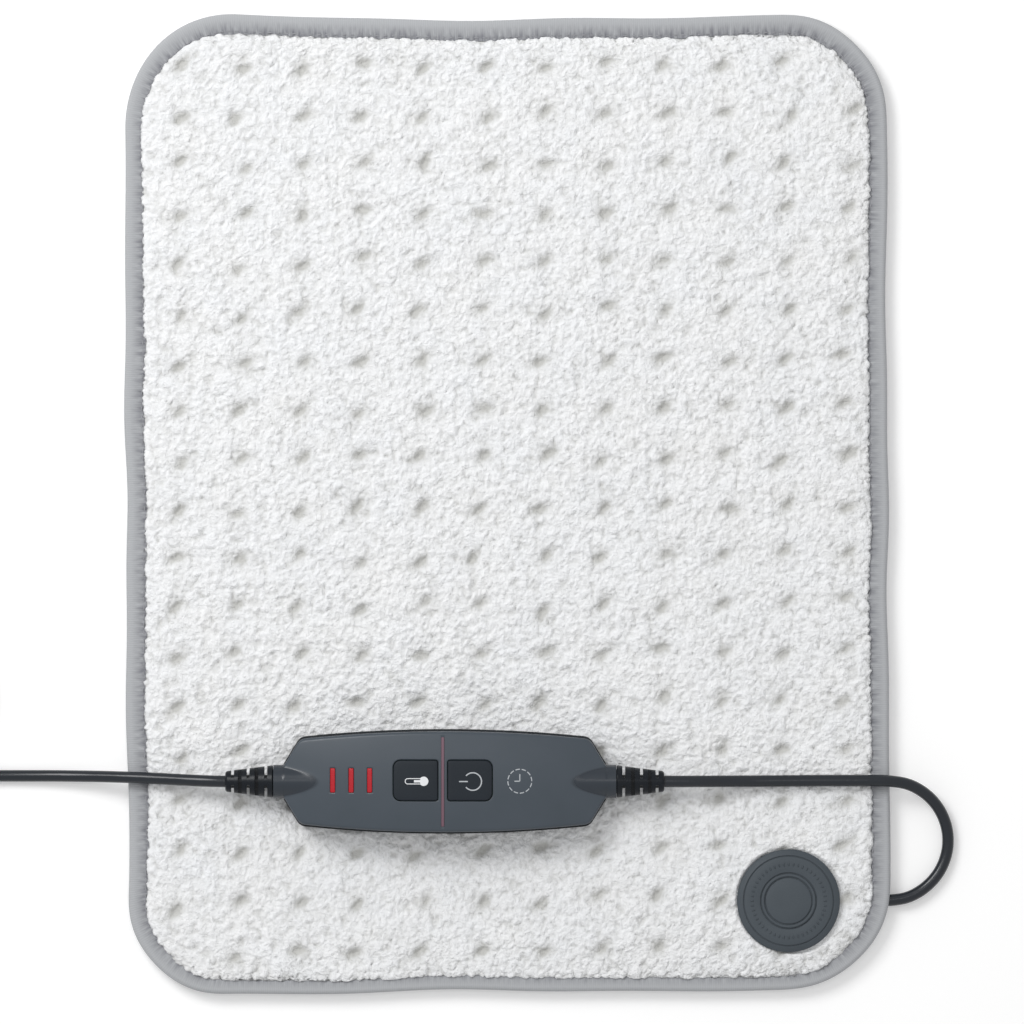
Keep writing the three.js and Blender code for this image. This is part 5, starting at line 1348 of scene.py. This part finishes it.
# Screen-printing ink: flat white with a faint grain of the screen.
ink_white = moulded("ink_printed_white", "#e9ebed", "#dfe1e4", 0.5, 0.003, 0.5, 0.6)
ink_grey = moulded("ink_printed_grey", "#b9bdc1", "#adb1b6", 0.5, 0.003, 0.5, 0.6)
stem = np.concatenate([arc(-15.1, 0.3, 1.1, 90, 270, 12), arc(-8.6, 0.3, 1.75, 219, 501, 34)])
dress(ribbon("thermometer_line", [stem], 0.32, KEY_PROUD, closed=True), ink_white,
      "temperature_key")
dress(ribbon("thermometer_fill", [straight(-12.6, 0.3, -8.6, 0.3, 8)], 0.95, KEY_PROUD, layer=1),
      ink_white, "temperature_key")
dress(ribbon("thermometer_bulb", [arc(-8.6, 0.3, 0.82, 0, 345, 24)], 1.6, KEY_PROUD, closed=True, layer=2),
      ink_white, "temperature_key")
dress(ribbon("switch_ring", [arc(11.5, 0.2, 3.6, -140, 140, 48)], 0.5, KEY_PROUD), ink_grey,
      "power_key")
dress(ribbon("switch_bar", [straight(5.9, 0.2, 9.5, 0.2, 8)], 0.5, KEY_PROUD), ink_grey,
      "power_key")
dashes = [arc(30.8, 0.3, 4.9, start, start + 21, 6) for start in range(0, 360, 30)]
dress(ribbon("timer_ring", dashes, 0.4, 0.0), ink_grey)
hands = [straight(30.8, 0.3, 30.8, 3.2, 6), straight(30.8, 0.3, 28.6, 0.3, 6)]
dress(ribbon("timer_hands", hands, 0.42, 0.0), ink_grey)

# %% [markdown]
# ## Boots
# A boot lets the lead bend without kinking: a tapering rubber sleeve, cut by slots that leave a bridge
# across the middle, upright in one slot and level in the next. Its radius is a function of the place
# along it and the angle: full between slots, and in a slot as far as the bridge reaches. A thinner neck
# seats it in the case.

# %% Slotted boots
BOOT_START, BOOT_LENGTH = 70.6 * MM, 19.6 * MM
BOOT_RADII = (6.7 * MM, 4.2 * MM)
NECK_RADIUS, NECK_LENGTH = 5.0 * MM, 2.2 * MM
FOOT_DROP, FOOT_ROUND, TIP_ROUND = 0.35 * MM, 0.5 * MM, 1.0 * MM
BRIDGE_HALF, CORE_RADIUS = 1.6 * MM, 2.75 * MM
SLOTS = [  # place and width in millimetres, and where the slot opens
    (2.9, 1.15, "side"), (6.7, 1.55, "top"), (10.2, 1.15, "side"), (13.6, 1.5, "top"), (16.6, 1.15, "side")]


def boot(name, sign):
    """Radius over length and angle; the two ends are rounded over, and the slots' walls are square."""
    marks = [(edge + shift) * MM for at, width, _ in SLOTS for edge in (at - width / 2, at + width / 2)
             for shift in (-0.14, -0.02, 0.02, 0.14)]
    along = np.unique(np.concatenate([
        np.linspace(0, BOOT_LENGTH, 40), np.linspace(0, FOOT_ROUND, 5),
        np.linspace(BOOT_LENGTH - TIP_ROUND, BOOT_LENGTH, 9), marks]))
    angle = np.linspace(0, 2 * np.pi, 96, endpoint=False)[None]
    radius = BOOT_RADII[0] + (BOOT_RADII[1] - BOOT_RADII[0]) * (along / BOOT_LENGTH)
    radius = radius - FOOT_DROP * (1 - np.minimum(along / FOOT_ROUND, 1)) ** 2
    tip = np.clip((along - (BOOT_LENGTH - TIP_ROUND)) / TIP_ROUND, 0, 1)
    radius = (radius - TIP_ROUND * (1 - np.sqrt(np.maximum(1 - tip**2, 0))))[:, None] + 0 * angle
    for at, width, kind in SLOTS:
        inside = (np.abs(along - at * MM) < width * MM / 2)[:, None]
        lean = np.abs(np.cos(angle) if kind == "side" else np.sin(angle))
        bridge = np.maximum(BRIDGE_HALF / np.maximum(lean, 1e-3), CORE_RADIUS)
        radius = np.where(inside, np.minimum(radius, bridge), radius)
    x = sign * (BOOT_START + along[:, None]) + 0 * angle
    grid = np.stack([x, radius * np.cos(angle), PARTING + radius * np.sin(angle)], axis=2)
    neck = np.stack([0 * angle, NECK_RADIUS * np.cos(angle), PARTING + NECK_RADIUS * np.sin(angle)], axis=2)
    neck = neck + np.array([BOOT_START - NECK_LENGTH, BOOT_START])[:, None, None] * (sign, 0, 0)
    grid = np.concatenate([neck, grid]) + (CASE_X, CASE_Y, CASE_BOTTOM)
    return surface(name, grid, wrap_columns=True, close="ends")


# Soft thermoplastic rubber: almost black, dull, with a broad weak highlight.
boot_rubber = moulded("boot_moulded_rubber", "#0b121a", "#080d13", 0.5, 0.01, 0.24, 0.34,
                      Specular_IOR_Level=0.2)
dress(boot("pad_boot", 1), boot_rubber, stands_for=["pad_lead_boot"])
dress(boot("mains_boot", -1), boot_rubber, stands_for=["mains_lead_boot"])

# %% [markdown]
# ## Plug and coil strap
# The mains lead ends in a flat two-pin plug with a ribbed boot moulded on. Its sections are
# superellipses, which are round at the lead and squarer in the body, and grooves across the boot let it
# bend. A hook-and-loop strap holds the coil: a flat band carried round a rounded rectangle.

# %% Plug body
plug_low, plug_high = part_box("plug_body")
PLUG_X, PLUG_Z = (plug_low.x + plug_high.x) / 2, (plug_low.z + plug_high.z) / 2
PLUG_LENGTH = plug_high.y - plug_low.y
RIB_DEPTH, RIB_PITCH = 0.55, 4.4 * MM  # the depth is in millimetres, as the sections are


def plug_sections():
    """Half width, half thickness and squareness along the plug, through a few chosen sections."""
    at = np.array([0, 4, 12, 20, 23, 27, 33, 40, 47, 53, 56.2, 57])
    wide = np.array([3.7, 4.1, 4.7, 5.4, 6.6, 10.2, 14.6, 17.1, 17.65, 17.3, 16.6, 15.6])
    thick = np.array([3.7, 4.1, 4.6, 5.1, 5.5, 6.1, 6.6, 6.8, 6.85, 6.6, 6.1, 5.2])
    square = np.array([2, 2, 2, 2, 2.1, 2.3, 2.6, 2.9, 3.1, 3.2, 3.2, 3.2])
    places = np.linspace(0, 1, 150)
    return places, [np.interp(places, at / at[-1], values) for values in (wide, thick, square)]


def plug_shell():
    """Superellipse loops along the plug: each axis is the half size times a signed power of cosine or
    sine. A moving mean smooths the half sizes first."""
    places, (wide, thick, square) = plug_sections()
    along = places * PLUG_LENGTH
    smoothing = np.ones(9) / 9
    wide, thick = (np.convolve(np.pad(values, 4, mode="edge"), smoothing, mode="valid")
                   for values in (wide, thick))
    turn = np.linspace(0, 2 * np.pi, 72, endpoint=False)
    ribs = RIB_DEPTH * np.maximum(np.cos(2 * np.pi * along / RIB_PITCH), 0) ** 4
    ribs = ribs * ease(along, 2 * MM, 4 * MM) * (1 - ease(along, 18 * MM, 20 * MM))
    wide, thick = wide - ribs, thick - ribs
    shape = 2 / square[:, None]
    cos, sin = np.cos(turn)[None], np.sin(turn)[None]
    x = PLUG_X + MM * wide[:, None] * np.sign(cos) * np.abs(cos) ** shape
    z = PLUG_Z + MM * thick[:, None] * np.sign(sin) * np.abs(sin) ** shape
    y = plug_low.y + along[:, None] + 0 * x
    return surface("plug_shell", np.stack([x, y, z], axis=2), wrap_columns=True, close="ends")


# Moulded PVC, the lead's own compound: black with a satin grain.
plug_pvc = moulded("plug_moulded_pvc", "#2b2f35", "#24282d", 0.6, 0.03, 0.4, 0.55)
plug_shell_piece = dress(plug_shell(), plug_pvc, stands_for=["plug_body"])

# %% Coil strap
STRAP_ANGLE = math.radians(60)
STRAP_WIDTH, STRAP_THICK = 6 * MM, 0.8 * MM
STRAP_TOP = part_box("coil_tie")[1].z


def coil_strap():
    """A flat band with rounded rims, carried round a loop in the plane through the coil's axis."""
    half = (COIL_COLUMNS - 1) / 2 * COIL_PITCH
    loop = plan_loop(half + LEAD_DIAMETER / 2 + 0.3 * MM + STRAP_THICK / 2, (STRAP_TOP - STRAP_THICK) / 2,
                     [2.4 * MM] * 4, 0)
    ahead = np.roll(loop, -1, 0) - np.roll(loop, 1, 0)
    out = np.stack([ahead[:, 1], -ahead[:, 0]], axis=1) / np.linalg.norm(ahead, axis=1, keepdims=True)
    turn = np.linspace(0, 2 * np.pi, 16, endpoint=False)
    across = STRAP_WIDTH / 2 * np.sign(np.cos(turn)) * np.abs(np.cos(turn)) ** 0.3
    thick = STRAP_THICK / 2 * np.sign(np.sin(turn)) * np.abs(np.sin(turn)) ** 0.5
    radial = coil_outer - half + loop[:, :1] + thick[None] * out[:, :1]
    z = STRAP_TOP / 2 + loop[:, 1:] + thick[None] * out[:, 1:]
    x = coil_x + radial * np.cos(STRAP_ANGLE) - across[None] * np.sin(STRAP_ANGLE)
    y = coil_y + radial * np.sin(STRAP_ANGLE) + across[None] * np.cos(STRAP_ANGLE)
    return surface("coil_strap", np.stack([x, y, z], axis=2), wrap_rows=True, wrap_columns=True)


# Hook-and-loop nylon tape: black with a coarse fuzzy grain.
strap_nylon = moulded("strap_hook_and_loop", "#2a2b2e", "#1f2023", 0.9, 0.15, 0.85, 0.95, Sheen_Weight=0.2)
strap_piece = dress(coil_strap(), strap_nylon, stands_for=["coil_tie"])

# %% [markdown]
# ## Pieces that keep their solids
# What is inside the pad and the case, and the plug's pins, keep the shapes of the solids. They still get
# real materials, so that an opened or cut-away view looks right.

# %% Materials for the remaining solids
REMAINING = {
    # Needle-punched felt and wadding: soft off-white fibre with a coarse uneven surface.
    "fibre": (moulded("felt_needled_polyester", "#e6e3dc", "#d6d2c9", 1.5, 0.3, 0.9, 1.0),
              ["upper_wadding", "wire_carrier"]),
    # Silicone-insulated heating wire: smooth, pale orange-brown, a little shiny.
    "wire": (moulded("wire_silicone_jacket", "#c98f6a", "#b87d59", 1.0, 0.01, 0.35, 0.5), ["heating_wire"]),
    # Glass-epoxy board under green lacquer: glossy, with the weave just visible.
    "board": (moulded("board_glass_epoxy", "#2e6b46", "#24583a", 0.8, 0.01, 0.25, 0.4), ["circuit_board"]),
    # Epoxy-moulded parts: dull black with a sandy grain.
    "epoxy": (moulded("parts_moulded_epoxy", "#2b2c2e", "#202123", 0.3, 0.01, 0.5, 0.7),
              ["control_chip", "triac", "temperature_switch", "power_switch", "overheat_cutout",
               "pad_lead_clamp", "mains_lead_clamp"]),
    # White nylon blocks and ceramic tube: matt and slightly creamy.
    "nylon": (moulded("blocks_white_nylon", "#ebe9e2", "#dedbd2", 0.6, 0.01, 0.4, 0.55),
              ["pad_wire_block", "mains_wire_block", "fuse", "coupling_terminal"]),
    # Polyester film capacitor: blue dipped lacquer, glossy.
    "film": (moulded("capacitor_dipped_lacquer", "#2f5fa6", "#274f8b", 1.2, 0.02, 0.15, 0.3), ["capacitor"]),
    # Zinc-plated steel screws: grey metal with fine turning marks.
    "steel": (moulded("screws_plated_steel", "#b4b6b8", "#9b9ea1", 0.25, 0.005, 0.25, 0.45, Metallic=1.0),
              [f"shell_screw_{i}" for i in (1, 2, 3, 4)] + [f"coupling_screw_{i}" for i in (1, 2, 3)]),
    # Nickel-plated brass pins: bright warm metal with faint drawing marks.
    "nickel": (moulded("pins_nickel_brass", "#cfccc4", "#bdb9b0", 0.3, 0.003, 0.15, 0.3, Metallic=1.0),
               ["plug_pin_1", "plug_pin_2"]),
    # Red epoxy diodes, clear and smooth.
    "diode": (moulded("diodes_clear_epoxy", "#c22a2a", "#a82020", 0.8, 0.003, 0.1, 0.2),
              ["led_1", "led_2", "led_3"]),
    "keys": (key_plastic, ["temperature_plunger", "power_plunger"]),
    "boss": (boss_plastic, ["coupling_base"]),
    "jacket": (jacket, ["pad_lead_tail", "mains_lead_tail"]),
    "sleeve": (plug_pvc, ["plug_sleeve_1", "plug_sleeve_2"]),
}
for material, names in REMAINING.values():
    for name in names:
        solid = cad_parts[name]
        solid.data.materials.clear()
        solid.data.materials.append(material)
print("solids with materials:", sum(len(names) for _, names in REMAINING.values()))
